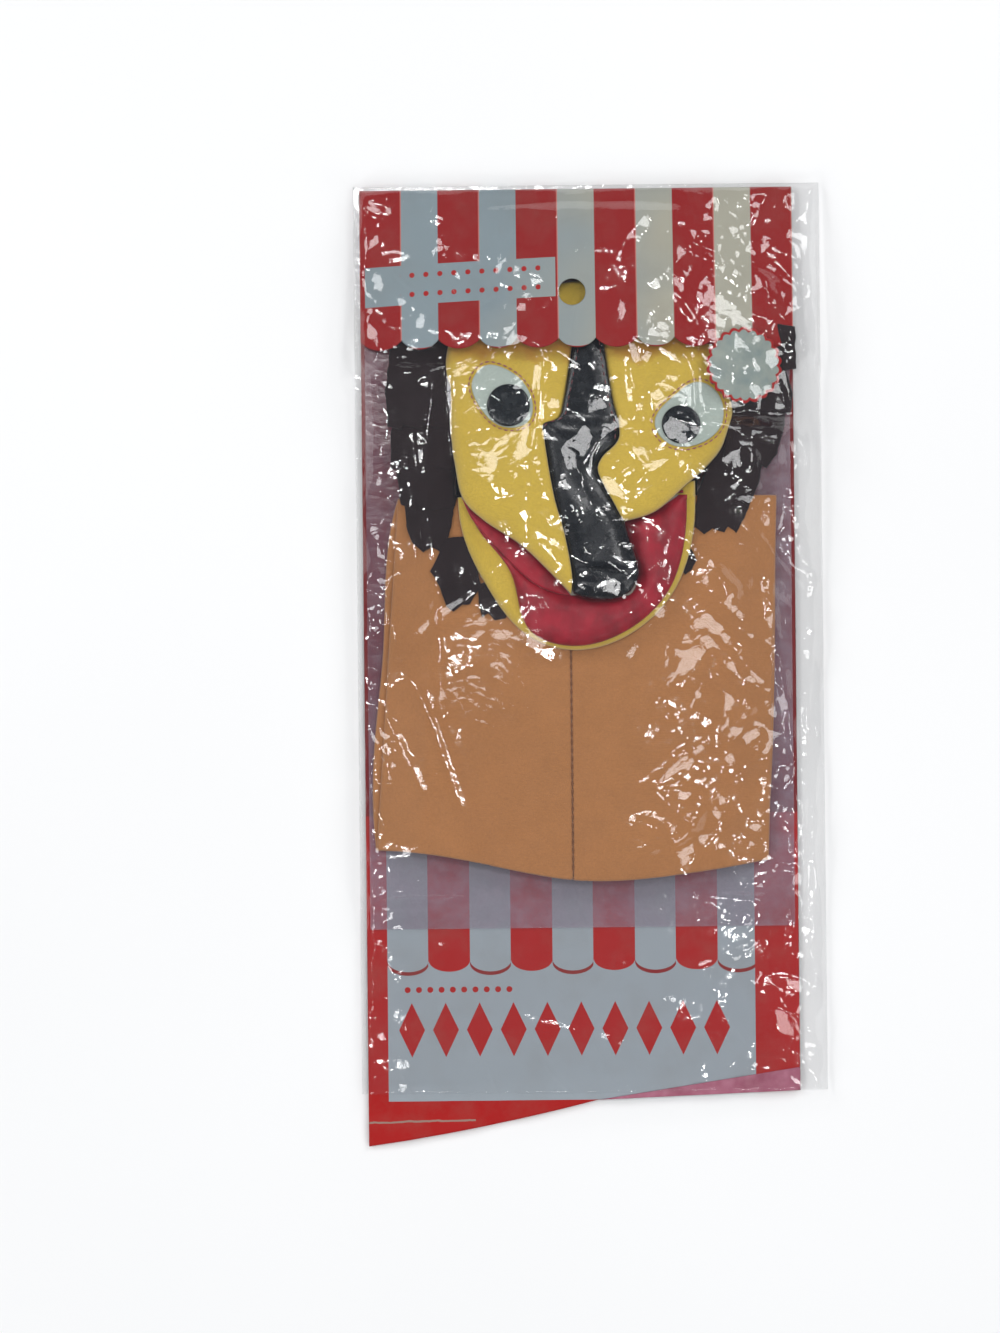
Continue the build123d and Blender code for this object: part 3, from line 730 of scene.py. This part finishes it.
def build_header():
    upper = top_of("header_flap")
    fold_top = box("header_fold")[1]
    loops = cad_outlines("header_flap")
    outline, centre = loops[0], ROUNDEL[:2]
    outline[outline[:, 1] > outline[:, 1].max() - 0.5, 1] = fold_top[1] - 0.3
    under_disc = np.hypot(*(outline - centre).T) < ROUNDEL_RADIUS + 0.8
    outline[under_disc] = centre + (outline[under_disc] - centre) * 0.85

    def flap_height(x, y, d):
        creases = sum(ridge(x, y, *crease) for crease in FLAP_CREASES)
        over_fold = smooth_step(y, fold_top[1] - 4, fold_top[1] - 1.4)
        flat = upper(x, y) + 0.25 * ripples(x, y, 34, 21) + creases
        return flat * (1 - over_fold) + (fold_top[2] + 0.65) * over_fold

    flap = cut_piece("awning_flap", loops, flap_height, PRINTED_CARD, 1.5)
    fasten(flap, HEADER_PRINT, "header", "header_flap")

    disc_top = top_of("roundel")

    def disc_height(x, y, d):
        return disc_top(x, y) + 0.8 + 0.15 * crumple(x, y, 6, 22)

    rim = scalloped_ring(ROUNDEL, ROUNDEL_RADIUS, ROUNDEL_TEETH, ROUNDEL_TOOTH)
    disc = cut_piece("scalloped_disc", [rim], disc_height, PRINTED_CARD, 1.0)
    fasten(disc, ROUNDEL_PRINT, "header", "roundel")


# ---- the puppet's body and mane -----------------------------------------------------------------
def build_body():
    for side, seed, pull in (("left", 31, -26), ("right", 37, 28)):
        def relief(x, y, d):
            by_seam = np.abs(x - SEAM_X)
            soft = 0.35 * ripples(x, y, 42, seed) + 0.12 * ripples(x, y * 0.6, 13, seed + 1)
            pulls = ridge(x, y, (SEAM_X, -6), (SEAM_X + pull, -14), 0.35, 6)
            return soft * smooth_step(by_seam, 0, 8) + pulls - roll(by_seam, 0.8, 0.3)

        relaid(f"body_panel_{side}", f"body_front_{side}", TAN, "puppet", relief, FELT, 1.6,
               "body_panel_back")

    def back_relief(x, y, d):
        return 0.1 * ripples(x, y, 30, 33) - 0.05

    relaid("body_panel_back", "body_back", TAN, "puppet", back_relief, FELT, 2.4, "liner_sheet")
    low, high = box("centre_seam")
    path = np.array([(SEAM_X, y) for y in np.arange(high[1], low[1], -1.0)])
    sewn = stitches("centre_seam_stitches", path, lambda x, y, d: np.full(len(x), low[2] - 0.1),
                    2.0, 0.5, 0.17)
    fasten(sewn, SEAM, "puppet", "centre_seam")


MANE_STRIPS = {  # the CAD nodes it stands for, how far it lies above the lowest layer, and its outline
    "left_upper": (("mane_left_upper",), 1.2, [
        (-59, 104), (-59.8, 92), (-60.8, 82), (-60.2, 71.9), (-56, 71), (-55.5, 72.4), (-50, 70.6),
        (-49.4, 72), (-41, 70.2), (-41, 104)]),
    "left_middle": (("mane_left_middle",), 0.6, [
        (-58.2, 76), (-59.4, 70), (-59.5, 59.2), (-56.4, 58.8), (-56, 60.6), (-50.5, 58.6), (-50, 60.4),
        (-41, 58), (-40, 76)]),
    "left_lower": (("mane_left_lower",), 0.3, [
        (-56.6, 64), (-57.6, 57), (-56.4, 48.4), (-52, 46.6), (-51.6, 48.2), (-46, 46.2), (-40.5, 47.4),
        (-40, 64)]),
    "left_lowest": ((), 0.0, [
        (-55.6, 51), (-54.6, 40), (-52.9, 36.4), (-50, 34), (-47.4, 35.6), (-45, 34.2), (-42.5, 37.4),
        (-39.6, 51)]),
    "left_tuft": (("mane_left_tuft",), 0.0, [
        (-43.6, 38), (-45.4, 33.4), (-48, 28.6), (-44.9, 23.4), (-43.4, 18), (-41, 16.4), (-38.6, 18.4),
        (-36.1, 18.4), (-32.9, 24.2), (-34, 31), (-36.5, 39)]),
    "chin_tuft": (("mane_chin_tuft",), 0.0, [
        (-33.4, 24.5), (-33.7, 19), (-32.6, 14.6), (-30.4, 15.4), (-29, 13.4), (-25.6, 14.2), (-24, 19),
        (-28, 26)]),
    "right_upper": (("mane_right_upper",), 1.2, [
        (42, 104), (62.4, 101), (62.6, 88.4), (59.6, 87.4), (61.8, 80.4), (60.6, 74.4), (55, 75.8),
        (54.5, 74.2), (48, 75.8), (42, 74.6)]),
    "right_middle": (("mane_right_middle",), 0.6, [
        (42, 80), (59.4, 79), (58.9, 71), (56.6, 63), (53.2, 58.4), (49.8, 60.4), (49, 58.2), (40, 60.6)]),
    "right_lower": (("mane_right_lower", "mane_right_tuft"), 0.0, [
        (38, 65), (53, 63.4), (51, 54), (48.4, 48), (46.4, 43.4), (43.7, 38.8), (41.6, 41), (40.4, 39),
        (36.8, 40.4), (34.2, 38.6), (31.4, 41), (32.4, 52)]),
    "small_tuft": (("mane_small_tuft",), 0.0, [
        (26.6, 38), (29.8, 35), (31.9, 30.8), (30.4, 28.2), (28.4, 26.8), (25.8, 31)]),
}


def mane_top(x, y):
    """The height of the mane's lowest layer: it follows the shoulders to the sides and dips at the crown."""
    body_low, body_high = box("body_front_left")
    slope, felt_high, crown_high = 13.0, body_high[2] + 0.9, 4.2
    left, right = body_low[0] + 4, box("body_front_right")[1][0] - 1
    inward = np.minimum(x - left, right - x)
    shoulders = felt_high - (4.4 * (1 - np.clip(inward / slope, 0, 1)) - 0.4 * np.minimum(inward, 0))
    under_flap = smooth_step(y, 80, 94)
    return shoulders * (1 - under_flap) + under_flap * np.minimum(shoulders, crown_high)


def ragged(outline, depth, sizes, seed):
    """The outline with small uneven waves, as scissors leave it."""
    return outline + depth * np.column_stack([ripples(*outline.T, size, seed) for size in sizes])


def build_mane():
    for seed, (name, (nodes, lift, points)) in enumerate(MANE_STRIPS.items(), 40):
        def height(x, y, d):
            soft = 0.25 * ripples(x, y, 16, seed) + 0.1 * ripples(x, y, 6, seed + 20)
            return mane_top(x, y) + lift + soft * (0.3 + lift)

        outline = ragged(split_runs(np.array(points, float)), 0.25, (4, 5), seed)
        strip = cut_piece(f"mane_strip_{name}", [outline[::-1]], height, THIN_FELT, 1.1)
        fasten(strip, BROWN, "puppet", *nodes)

    crown_top = top_of("mane_crown")

    def crown_height(x, y, d):
        return crown_top(x, y) + 0.15 * ripples(x, y, 14, 39)

    outline = ragged(cad_outlines("mane_crown")[0], 0.3, (3, 4), 38)
    crown = cut_piece("mane_strip_crown", [outline], crown_height, THIN_FELT, 1.4)
    fasten(crown, BROWN, "puppet", "mane_crown")


# ---- the head -----------------------------------------------------------------------------------
LEFT_OUTER = [(1.4, 116), (-22, 112), (-38, 104), (-42.6, 93), (-42.3, 80), (-41.2, 67.6), (-40.2, 60),
              (-38, 50), (-31.7, 43.2), (-21, 36), (-13.2, 28.6), (-5.9, 20.9)]
LEFT_INNER = [(-5.9, 20.9), (-5.6, 27), (-7.7, 39), (-10.8, 50.8), (-13.2, 66), (-13.6, 71.8)]
LEFT_NOTCH = [(-13.6, 71.8), (-8.9, 73.8), (-7, 80.5), (-4.2, 97), (0.6, 105), (1.4, 116)]
RIGHT_INNER = [(2, 116), (4.5, 97), (6.9, 80), (9, 70.5), (8.2, 66.2), (4.1, 62.2), (2.4, 58.6), (3.5, 54.7),
               (6.9, 48.3), (10, 42.4)]
RIGHT_OUTER = [(10, 42.4), (19.5, 45.4), (28.9, 53.3), (34.8, 58.5), (39.2, 63.7), (41.4, 69.1), (43.2, 75),
               (43.3, 82), (42.8, 93), (37, 104), (20, 112), (2, 116)]
NOSE_LEFT = [(-3.6, 105), (-3.9, 97), (-7.2, 80), (-8.9, 74), (-13.8, 72), (-15.5, 68), (-13.5, 55),
             (-10.5, 42), (-8, 30), (-5.2, 21.2)]
NOSE_FOOT = [(-5.2, 21.2), (-2.6, 20.1), (3.5, 19.3), (8.4, 19.8), (11.8, 21.6)]
NOSE_RIGHT = [(11.8, 21.6), (13.9, 25), (14.2, 28.4), (12.9, 33.5), (10.2, 42.3), (9, 52), (8.3, 62),
              (9.1, 70.5), (7, 80), (4.6, 97), (4.2, 105)]


def joined(*runs):
    """One closed outline from runs that each start where the last one ended."""
    return np.vstack([curve(run)[:-1] for run in runs])


LEFT_LOBE = joined(LEFT_OUTER, LEFT_INNER, LEFT_NOTCH)
RIGHT_LOBE = joined(RIGHT_INNER, RIGHT_OUTER)
NOSE = np.vstack([joined(NOSE_LEFT, NOSE_FOOT, NOSE_RIGHT), [NOSE_RIGHT[-1]]])
NOSE_TOP_RUN = 72.0         # above it the nose lies on the face, and below it between the lobes
LOBES = {  # the run of the outline that rolls over, its folds, and the CAD nodes it stands for
    "left": (LEFT_LOBE, LEFT_OUTER, [((-43, 67), (-36, 66), -0.5, 1.3), ((-30, 40), (-24, 52), 0.25, 5)],
             ("face_left", "muzzle_left", "muzzle_rim")),
    "right": (RIGHT_LOBE, RIGHT_OUTER, [((26, 57.5), (38, 52), -0.5, 1.3), ((6, 62), (20, 56), 0.25, 5)],
              ("face_right", "muzzle_right")),
}


def face_top(y):
    """The height of the head's upper side, which sinks towards the crown."""
    t = y - HINGE_Y
    return MUZZLE_TOP - FACE_FALL * 0.5 * (t + np.sqrt(t * t + 30))


def lobe_height(outer, folds):
    """The height of a felt lobe whose outer edge rolls down to the side of the head."""
    rim = curve(outer)

    def height(x, y, d):
        away = distance(np.column_stack([x, y]), rim, closed=False)
        drop = np.clip(2.6 + 1.8 * smooth_step(y, 46, 60), 0.2, np.maximum(face_top(y) - 4.8, 0.3))
        creases = sum(ridge(x, y, *fold) for fold in folds)
        soft = 0.16 * ripples(x, y, 22, 51) * smooth_step(away, 2, 9)
        return face_top(y) + soft - 0.15 + creases - roll(away, 5.0, drop) - roll(d, 1.2, 0.25)

    return height


def clear_of(x, y, outlines):
    """How far each place is outside all of the outlines, which is 0 within any of them."""
    points = np.column_stack([x, y])
    covered = np.any([inside(points, outline) for outline in outlines], 0)
    return np.where(covered, 0, np.min([distance(points, outline) for outline in outlines], 0))


def nose_height(x, y, d):
    """A puffed strip that dives under the edges of the two lobes below the eyes."""
    on_face = smooth_step(y, NOSE_TOP_RUN - 3, NOSE_TOP_RUN + 3)
    bare = np.minimum(d, clear_of(x, y, [LEFT_LOBE, RIGHT_LOBE]) * (1 - on_face) + 20 * on_face)
    base = face_top(y) - 2.1 * (1 - on_face) + 0.75 * on_face
    puff = (2.9 - 1.6 * on_face) * dome(bare, 7)
    wrinkle = 0.14 * (crumple(x + ripples(x, y, 9, 61), y * 0.8, 6, 62) - 0.3) * smooth_step(bare, 0.6, 3)
    tuck = ridge(x, y, (-4, 28.8), (12.5, 27.6), -1.1, 1.6) + ridge(x, y, (-3, 25), (9, 23.4), -0.5, 1.3)
    return base + puff + wrinkle + tuck


def wall(name, path, low, high, thickness):
    """An upright strip of felt that follows an open path, from one height up to another at each point."""
    run = np.gradient(path, axis=0)
    normal = np.column_stack([-run[:, 1], run[:, 0]]) / np.hypot(*run.T)[:, None] * thickness / 2
    corners = [(path + normal, low), (path + normal, high), (path - normal, high), (path - normal, low)]
    verts = np.array([np.column_stack([spots, np.full(len(path), z)]) for spots, z in corners])
    n = len(path)
    faces = [(k * n + i, k * n + i + 1, (k + 1) % 4 * n + i + 1, (k + 1) % 4 * n + i)
             for k in range(4) for i in range(n - 1)]
    ends = [(0, n, 2 * n, 3 * n), (4 * n - 1, 3 * n - 1, 2 * n - 1, n - 1)]
    return mesh_object(name, verts.reshape(-1, 3), faces + ends)


def build_head_back():
    def back_relief(x, y, d):
        return 0.08 * ripples(x, y, 24, 53) - 0.05

    relaid("head_panel_back", "head_back", BROWN, "puppet", back_relief, FELT, 2.4, "liner_sheet")
    outline = cad_outlines("head_back")[0]
    neck, inset = HINGE_Y + 6, 1.5
    rim = outline[outline[:, 1] > neck]
    start = np.argmax(np.hypot(*(rim - np.roll(rim, 1, 0)).T))
    rim = np.roll(rim, -start, 0)
    middle = rim.mean(0)
    path = middle + (rim - middle) * (1 - inset / 42)
    low = box("head_back")[1][2]
    high = np.maximum(face_top(path[:, 1]) - 2.9, low + 0.4) + 0.1 * ripples(*path.T, 5, 54)
    side = wall("head_side_wall", path, low, high, THIN_FELT)
    fasten(side, YELLOW, "puppet", "head_gusset")


def build_head():
    for side, (outline, outer, folds, nodes) in LOBES.items():
        lobe = cut_piece(f"face_lobe_{side}", [outline], lobe_height(outer, folds), FELT, 1.3)
        fasten(lobe, YELLOW, "mouth", *nodes)

    nose = cut_piece("nose_strip", [NOSE], nose_height, VINYL, 0.8)
    fasten(nose, BLACK, "mouth", "nose_bridge", "nose_snout")
    for side, run, inset in (("left", NOSE_LEFT, 1.3), ("right", NOSE_RIGHT[::-1], -1.3)):
        path = curve(run) + (inset, 0)
        path = path[(path[:, 1] > 66) & (path[:, 1] < 98)]
        from_edge = distance(path, NOSE).mean()

        def on_nose(x, y, _):
            return nose_height(x, y, np.full(len(x), from_edge)) + 0.1

        sewn = stitches(f"nose_stitches_{side}", path, on_nose, 1.5, 0.9, 0.16)
        fasten(sewn, RED_THREAD, "puppet")

    def tip_relief(x, y, d):
        return 0.45 * np.sqrt(np.clip(d / 4, 0, 1)) + 0.2 * crumple(x, y, 4, 66) - 0.25

    relaid("nose_fold", "nose_tip", BLACK, "muzzle", tip_relief, 0.5, 0.6)


def build_eyes():
    def white_height(x, y, d):
        return face_top(y) + 0.5 + 0.3 * np.sqrt(np.clip(d / 3, 0, 1))

    def disc_height(x, y, d):
        return face_top(y) + 1.3 + 0.3 * dome(d, 3)

    def thread_height(x, y, _):
        return face_top(y) + 0.1

    for side in ("left", "right"):
        outline = cad_outlines(f"eye_white_{side}")[0]
        white = cut_piece(f"eye_patch_{side}", [outline], white_height, 0.6, 0.8)
        fasten(white, EYE_WHITE, "puppet", f"eye_white_{side}")
        disc = cut_piece(f"pupil_disc_{side}", cad_outlines(f"pupil_{side}")[:1], disc_height, 0.7, 0.6)
        fasten(disc, PUPIL, "puppet", f"pupil_{side}")
        middle = outline.mean(0)
        line = middle + (outline - middle) * 1.09
        sewn = stitches(f"eye_stitches_{side}", np.vstack([line, line[:1]]), thread_height, 1.5, 0.35, 0.2)
        fasten(sewn, PINK_THREAD, "puppet")


PALATE = joined([(-38.2, 50.2), (-35.4, 44), (-30.4, 37.6), (-25, 31.8), (-20, 26.8), (-15, 23.2),
                 (-8.6, 20.9), (-3, 20.8)],
                [(-3, 20.8), (11.6, 22.4)], [(11.6, 22.4), (13.2, 27.3), (10.1, 42.4)],
                [(10.1, 42.4), (19.5, 45.4), (26.4, 50.2)], [(26.4, 50.2), (-38.2, 50.2)])


def build_mouth():
    shell_top, lining_top = top_of("jaw_shell"), top_of("mouth_lining")
    palate_top = box("palate_lining")[1][2]
    boarded = cad_outlines("palate_lining")[0]
    shell = cad_outlines("jaw_shell")[0]
    corner = (shell[:, 1] > HINGE_Y - 1.2) & (shell[:, 0] > 20)
    shell[corner, 1] += 4.2 * smooth_step(shell[corner, 0], 20, 30)
    lining = cad_outlines("mouth_lining")[0]

    def from_lip(y, d):
        """The distance from the cut edge, in which the edge along the hinge doesn't count."""
        return np.where(y < HINGE_Y - 2, d, 9)

    def shell_height(x, y, d):
        away = from_lip(y, d)
        lift = 0.9 * smooth_step(away, 0, 2) * smooth_step(-y, -46, -34)
        return shell_top(x, y) + lift - roll(away, 3, 1.0)

    def lining_height(x, y, d):
        bare = np.minimum(from_lip(y, d), clear_of(x, y, [RIGHT_LOBE, NOSE, PALATE]))
        return lining_top(x, y) + 3.2 * dome(bare, 5.5) + 0.5 * ripples(x, y, 9, 71) * smooth_step(bare, 1, 4)

    def palate_height(x, y, d):
        bulge = 1.1 * smooth_step(clear_of(x, y, [boarded]), 0, 1.5) * dome(d, 2.2)
        return palate_top - 0.15 + bulge * (1 + 0.25 * ripples(x, y, 6, 73))

    lip = cut_piece("jaw_lip", [shell], shell_height, 1.0, 1.0)
    fasten(lip, YELLOW, "jaw", "jaw_shell")
    satin_bed = cut_piece("satin_lining", [lining], lining_height, SATIN_CLOTH, 0.9)
    fasten(satin_bed, SATIN, "jaw", "mouth_lining")
    roof = cut_piece("satin_palate", [PALATE], palate_height, SATIN_CLOTH, 1.0)
    fasten(roof, SATIN, "muzzle", "palate_lining")
    for node, name, material in (("mouth_fold", "satin_fold", SATIN), ("jaw_seam", "mouth_seam_roll", SEAM)):
        fold = cut_piece(name, cad_outlines(node), top_of(node), 0.9, 1.2, 0.45)
        fasten(fold, material, "puppet", node)


# ---- the bag ------------------------------------------------------------------------------------
FOLDS = [  # the long folds of the film: from, to, height, width
    ((-12, 101), (-17, 63), 0.7, 2.2), ((-57, 9), (-27, 30), 0.9, 3.2), ((-47, 30), (-45, -8), 0.5, 2.0),
    ((-62, -14), (-50, -40), 0.5, 2.5), ((-66, -18), (-60, -34), 0.5, 2.0), ((-43, 92), (-42, 62), 0.7, 1.8),
    ((12, 96), (14, 72), 0.7, 2.4), ((8, 100), (36, 92), 0.6, 2.5), ((-51, 48), (-48, 30), 0.7, 1.8),
    ((10, -40), (34, -22), 0.8, 3.0), ((22, -58), (40, -34), 0.9, 3.2), ((14, -56), (28, -52), 0.8, 2.4),
    ((30, 126), (60, 112), 0.6, 2.0), ((40, 138), (62, 96), 0.5, 2.2), ((20, 122), (34, 100), 0.5, 2.2),
    ((-66, 112), (-56, 100), 0.5, 2.0), ((52, 30), (62, -34), 0.9, 2.5), ((60, -32), (64, -52), 0.9, 2.5),
    ((44, 46), (64, 20), 0.7, 2.2), ((56, 92), (66, 58), 0.7, 2.2), ((64, 120), (66, 60), 0.8, 1.6),
    ((-6, 64), (2, 40), 0.6, 2.4), ((24, 60), (10, 52), 0.6, 2.2), ((-52, -2), (-36, -44), 0.35, 2.4),
    ((66, 10), (62, -80), 0.9, 1.8), ((30, -92), (52, -84), 0.5, 2.0), ((-30, -104), (20, -118), 0.4, 3.0),
    ((26, 24), (46, 4), 0.7, 2.6), ((34, 12), (54, -8), 0.6, 2.4), ((-60, 40), (-64, 4), 0.6, 1.6),
    ((-4, 67), (4, 42), 1.2, 7.0), ((16, 92), (22, 62), 0.8, 6.0), ((12, 26), (19, 13), 0.9, 5.0),
    ((13, -46), (29, -58), 1.0, 7.0), ((50, 80), (47, 44), 0.8, 4.0), ((56, 72), (54, 40), 0.8, 3.5),
    ((30, 40), (48, 10), 0.9, 5.0), ((-52, 70), (-50, 44), 0.5, 3.0), ((-3, 34), (11, 26), 0.6, 3.0),
]
HEADER_LIFT = math.tan(math.radians(4))      # slope by which the header's flap can rise


def blurred(z, cells):
    """A grid of heights with its steps softened over this many cells."""
    kernel = np.exp(-0.5 * (np.arange(-3 * cells, 3 * cells + 1) / cells)**2)
    kernel /= kernel.sum()
    for _ in range(2):
        padded = np.pad(z, ((0, 0), (3 * cells, 3 * cells)), mode="edge")
        z = np.array([np.convolve(row, kernel, "valid") for row in padded]).T
    return z


def contents_top(x, y):
    """The height of what the bag holds, softened as film drapes over it."""
    tops = np.zeros(x.shape)
    for node in ("back_card", "header_flap", "body_front_left", "body_front_right", "roundel"):
        low, high = (corner[:2] for corner in box(node))
        near = (x > low[0] - 2) & (x < high[0] + 2) & (y > low[1] - 2) & (y < high[1] + 2)
        spots = np.clip(np.column_stack([x[near], y[near]]), low + 0.2, high - 0.2)
        held = top_of(node)(*spots.T)
        if node in ("header_flap", "roundel"):
            held = held + (CARD_HIGH[1] - y[near]) * HEADER_LIFT
        tops[near] = np.maximum(tops[near], held)
    in_mane = (np.abs(x) < 63) & (y > 32) & (y < 104)
    tops[in_mane] = np.maximum(tops[in_mane], mane_top(x[in_mane], y[in_mane]) + 1.6)
    for axis in (0, 1):
        tops = np.max([np.roll(tops, k, axis) for k in range(-4, 5)], 0)
    return blurred(tops, 2)


def film_relief(x, y):
    """The creases of the film: calm over the body and the left mane, busy at the right and at the edges."""
    calm = np.exp(-(np.abs((x + 18) / 34)**4 + np.abs((y + 34) / 38)**4))
    calm = np.maximum(calm, 0.8 * np.exp(-(((x + 47) / 13)**4 + ((y - 62) / 26)**4)))
    on_nose = np.exp(-((x + 1) / 15)**2 - ((y - 50) / 30)**2)
    busy = 0.3 - 0.24 * calm
    busy = busy + 0.7 * np.clip(smooth_step(x, 14, 48) * smooth_step(y, -62, 0)
                                + smooth_step(y, 84, 100) * 0.35
                                + smooth_step(x, 48, 60) + smooth_step(-x, 54, 64) * 0.7
                                + np.exp(-((x - 24) / 18)**2 - ((y + 50) / 14)**2), 0, 1)
    large = 0.15 * facets(x, y, 17, 83) * (busy + on_nose)
    small = (0.11 * facets(x, y, 8, 103) + 0.06 * facets(x, y, 4, 123)) * busy * (1 - 0.7 * on_nose)
    waves = 0.3 * ripples(x, y, 45, 86)**2 * (0.3 + busy)
    return large + small + waves + sum(ridge(x, y, *fold) for fold in FOLDS)


def build_bag():
    low, high = BAG_LOW, BAG_HIGH
    reach = high - low
    step, base, weld = 0.85, high[2] + 0.2, 2.5
    nx, ny = (int(round(r / step)) + 1 for r in reach[:2])
    x, y = np.meshgrid(np.linspace(low[0], high[0], nx), np.linspace(low[1], high[1], ny))
    crown = top_of("bag_front")(np.zeros(ny), np.minimum(y[:, 0], box("bag_front")[1][1] - 0.5))[:, None]
    shoulder = np.cos(math.pi / 2 * np.clip(np.abs(x + 1.5 * ripples(x, y, 50, 87)) / (high[0] - 1), 0, 1))
    by_edge = np.minimum(np.minimum(x - low[0], high[0] - x), high[1] - y)
    ends, closing = smooth_step(high[1] - y, 1.0, 9), smooth_step(by_edge, 0.1, 1.6)
    held = base + (contents_top(x, y) + 1.1 - base) * closing
    drape = np.maximum(blurred(base + (crown - base) * shoulder * ends, 2), held)
    seal = -0.25 * np.exp(-((by_edge - weld) / 0.5)**2)
    z = drape + (film_relief(x, y) + seal) * smooth_step(by_edge, 0.4, 4)

    upper_side = np.column_stack([x.ravel(), y.ravel(), z.ravel()])
    lower_side = upper_side - (0, 0, FILM)
    at = np.arange(nx * ny).reshape(ny, nx)
    faces = np.column_stack([s.ravel() for s in (at[:-1, :-1], at[:-1, 1:], at[1:, 1:], at[1:, :-1])])
    under = faces[:, ::-1] + nx * ny
    rim = np.concatenate([at[0, :-1], at[:-1, -1], at[-1, :0:-1], at[:0:-1, 0]])
    ahead = np.roll(rim, -1)
    edge_faces = np.column_stack([rim, rim + nx * ny, ahead + nx * ny, ahead])
    front = mesh_object("bag_film", np.vstack([upper_side, lower_side]),
                        np.vstack([faces, under, edge_faces]).tolist())
    fasten(front, CLEAR_FILM, "bag", "bag_front", "bag_weld_left", "bag_weld_right", "bag_weld_top",
           "bag_lip")
    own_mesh(front)


def build_bag_back():
    loops = cad_outlines("bag_back")
    back_top = box("bag_back")[1][2]

    def back_height(x, y, d):
        return back_top - 0.03 - 0.08 * np.abs(ripples(x, y, 20, 88))

    back = cut_piece("bag_back_film", loops, back_height, FILM, 3.0)
    fasten(back, CLEAR_FILM, "bag", "bag_back")


# ---- the stage ----------------------------------------------------------------------------------
def build_floor():
    paint = Paint("pale_floor")
    cloud = paint.noise(300, 2)
    tone = paint.mix(cloud.ramp(0.3, 0.7), (0.86, 0.86, 0.86), (0.89, 0.89, 0.89))
    pale = paint.finish(tone, cloud.ramp(0.3, 0.7, 0.8, 0.95), specular_ior_level=0.1)
    half, sunk = 3000, -0.4
    corners = [(-half, -half, sunk), (half, -half, sunk), (half, half, sunk), (-half, half, sunk)]
    floor = mesh_object("floor", corners, [(0, 1, 2, 3)])
    floor.data.materials.append(pale)


def add_light(name, azimuth, lean, far, size, power):
    """A round lamp leaning this many degrees, aimed at the puppet. Its far and size are in metres."""
    lamp = bpy.data.lights.new(name, "AREA")
    lamp.shape, lamp.energy, lamp.size = "DISK", power, size
    light = bpy.data.objects.new(name, lamp)
    turn, tip = math.radians(azimuth), math.radians(lean)
    out = far * math.sin(tip)
    light.location = (out * math.cos(turn), out * math.sin(turn), far * math.cos(tip))
    light.rotation_euler = (0, tip, turn)
    bpy.context.scene.collection.objects.link(light)


def build_lights():
    """Four soft boxes, two small windows, and the sparkles that the creased film mirrors."""
    world = bpy.data.worlds.new("soft_room")
    world.use_nodes = True
    sky = world.node_tree.nodes["Background"]
    sky.inputs["Color"].default_value = (0.86, 0.92, 1.0, 1)
    sky.inputs["Strength"].default_value = 0.16
    bpy.context.scene.world = world
    for i, (azimuth, power) in enumerate(((50, 7.2), (140, 7.2), (225, 5.6), (320, 5.6))):
        add_light(f"soft_box_{i}", azimuth, 57, 1.7, 0.7, power)
    sparkles = [(20, 22), (55, 40), (130, 24), (200, 46), (236, 50), (325, 34), (350, 40), (165, 42),
                (100, 12)]
    for i, (azimuth, lean) in enumerate(sparkles):
        add_light(f"sparkle_{i}", azimuth, lean, 1.5, 0.11, 1.1)
    for i, azimuth in enumerate((15, 120)):
        add_light(f"window_{i}", azimuth, 19, 1.5, 0.3, 1.8)


def build_camera():
    far, view_width, sensor = 1.4, 0.3012, 36
    lens = bpy.data.cameras.new("camera")
    lens.sensor_fit, lens.sensor_width = "HORIZONTAL", sensor
    lens.lens = sensor * far / view_width
    camera = bpy.data.objects.new("camera", lens)
    camera.location = (-0.0273, -0.0003, far)
    camera.rotation_euler = (0, 0, math.radians(-0.6))
    bpy.context.scene.collection.objects.link(camera)
    bpy.context.scene.camera = camera
    bpy.context.scene.view_settings.view_transform = "Standard"


build_camera()
build_floor()
build_lights()
build_card()
build_header()
build_body()
build_mane()
build_head_back()
build_head()
build_eyes()
build_mouth()
build_bag()
build_bag_back()
for board_node in ("jaw_board", "palate_board"):
    coat(frame["nodes"][board_node], GREY)
coat(frame["nodes"]["header_fold"], HEADER_PRINT)
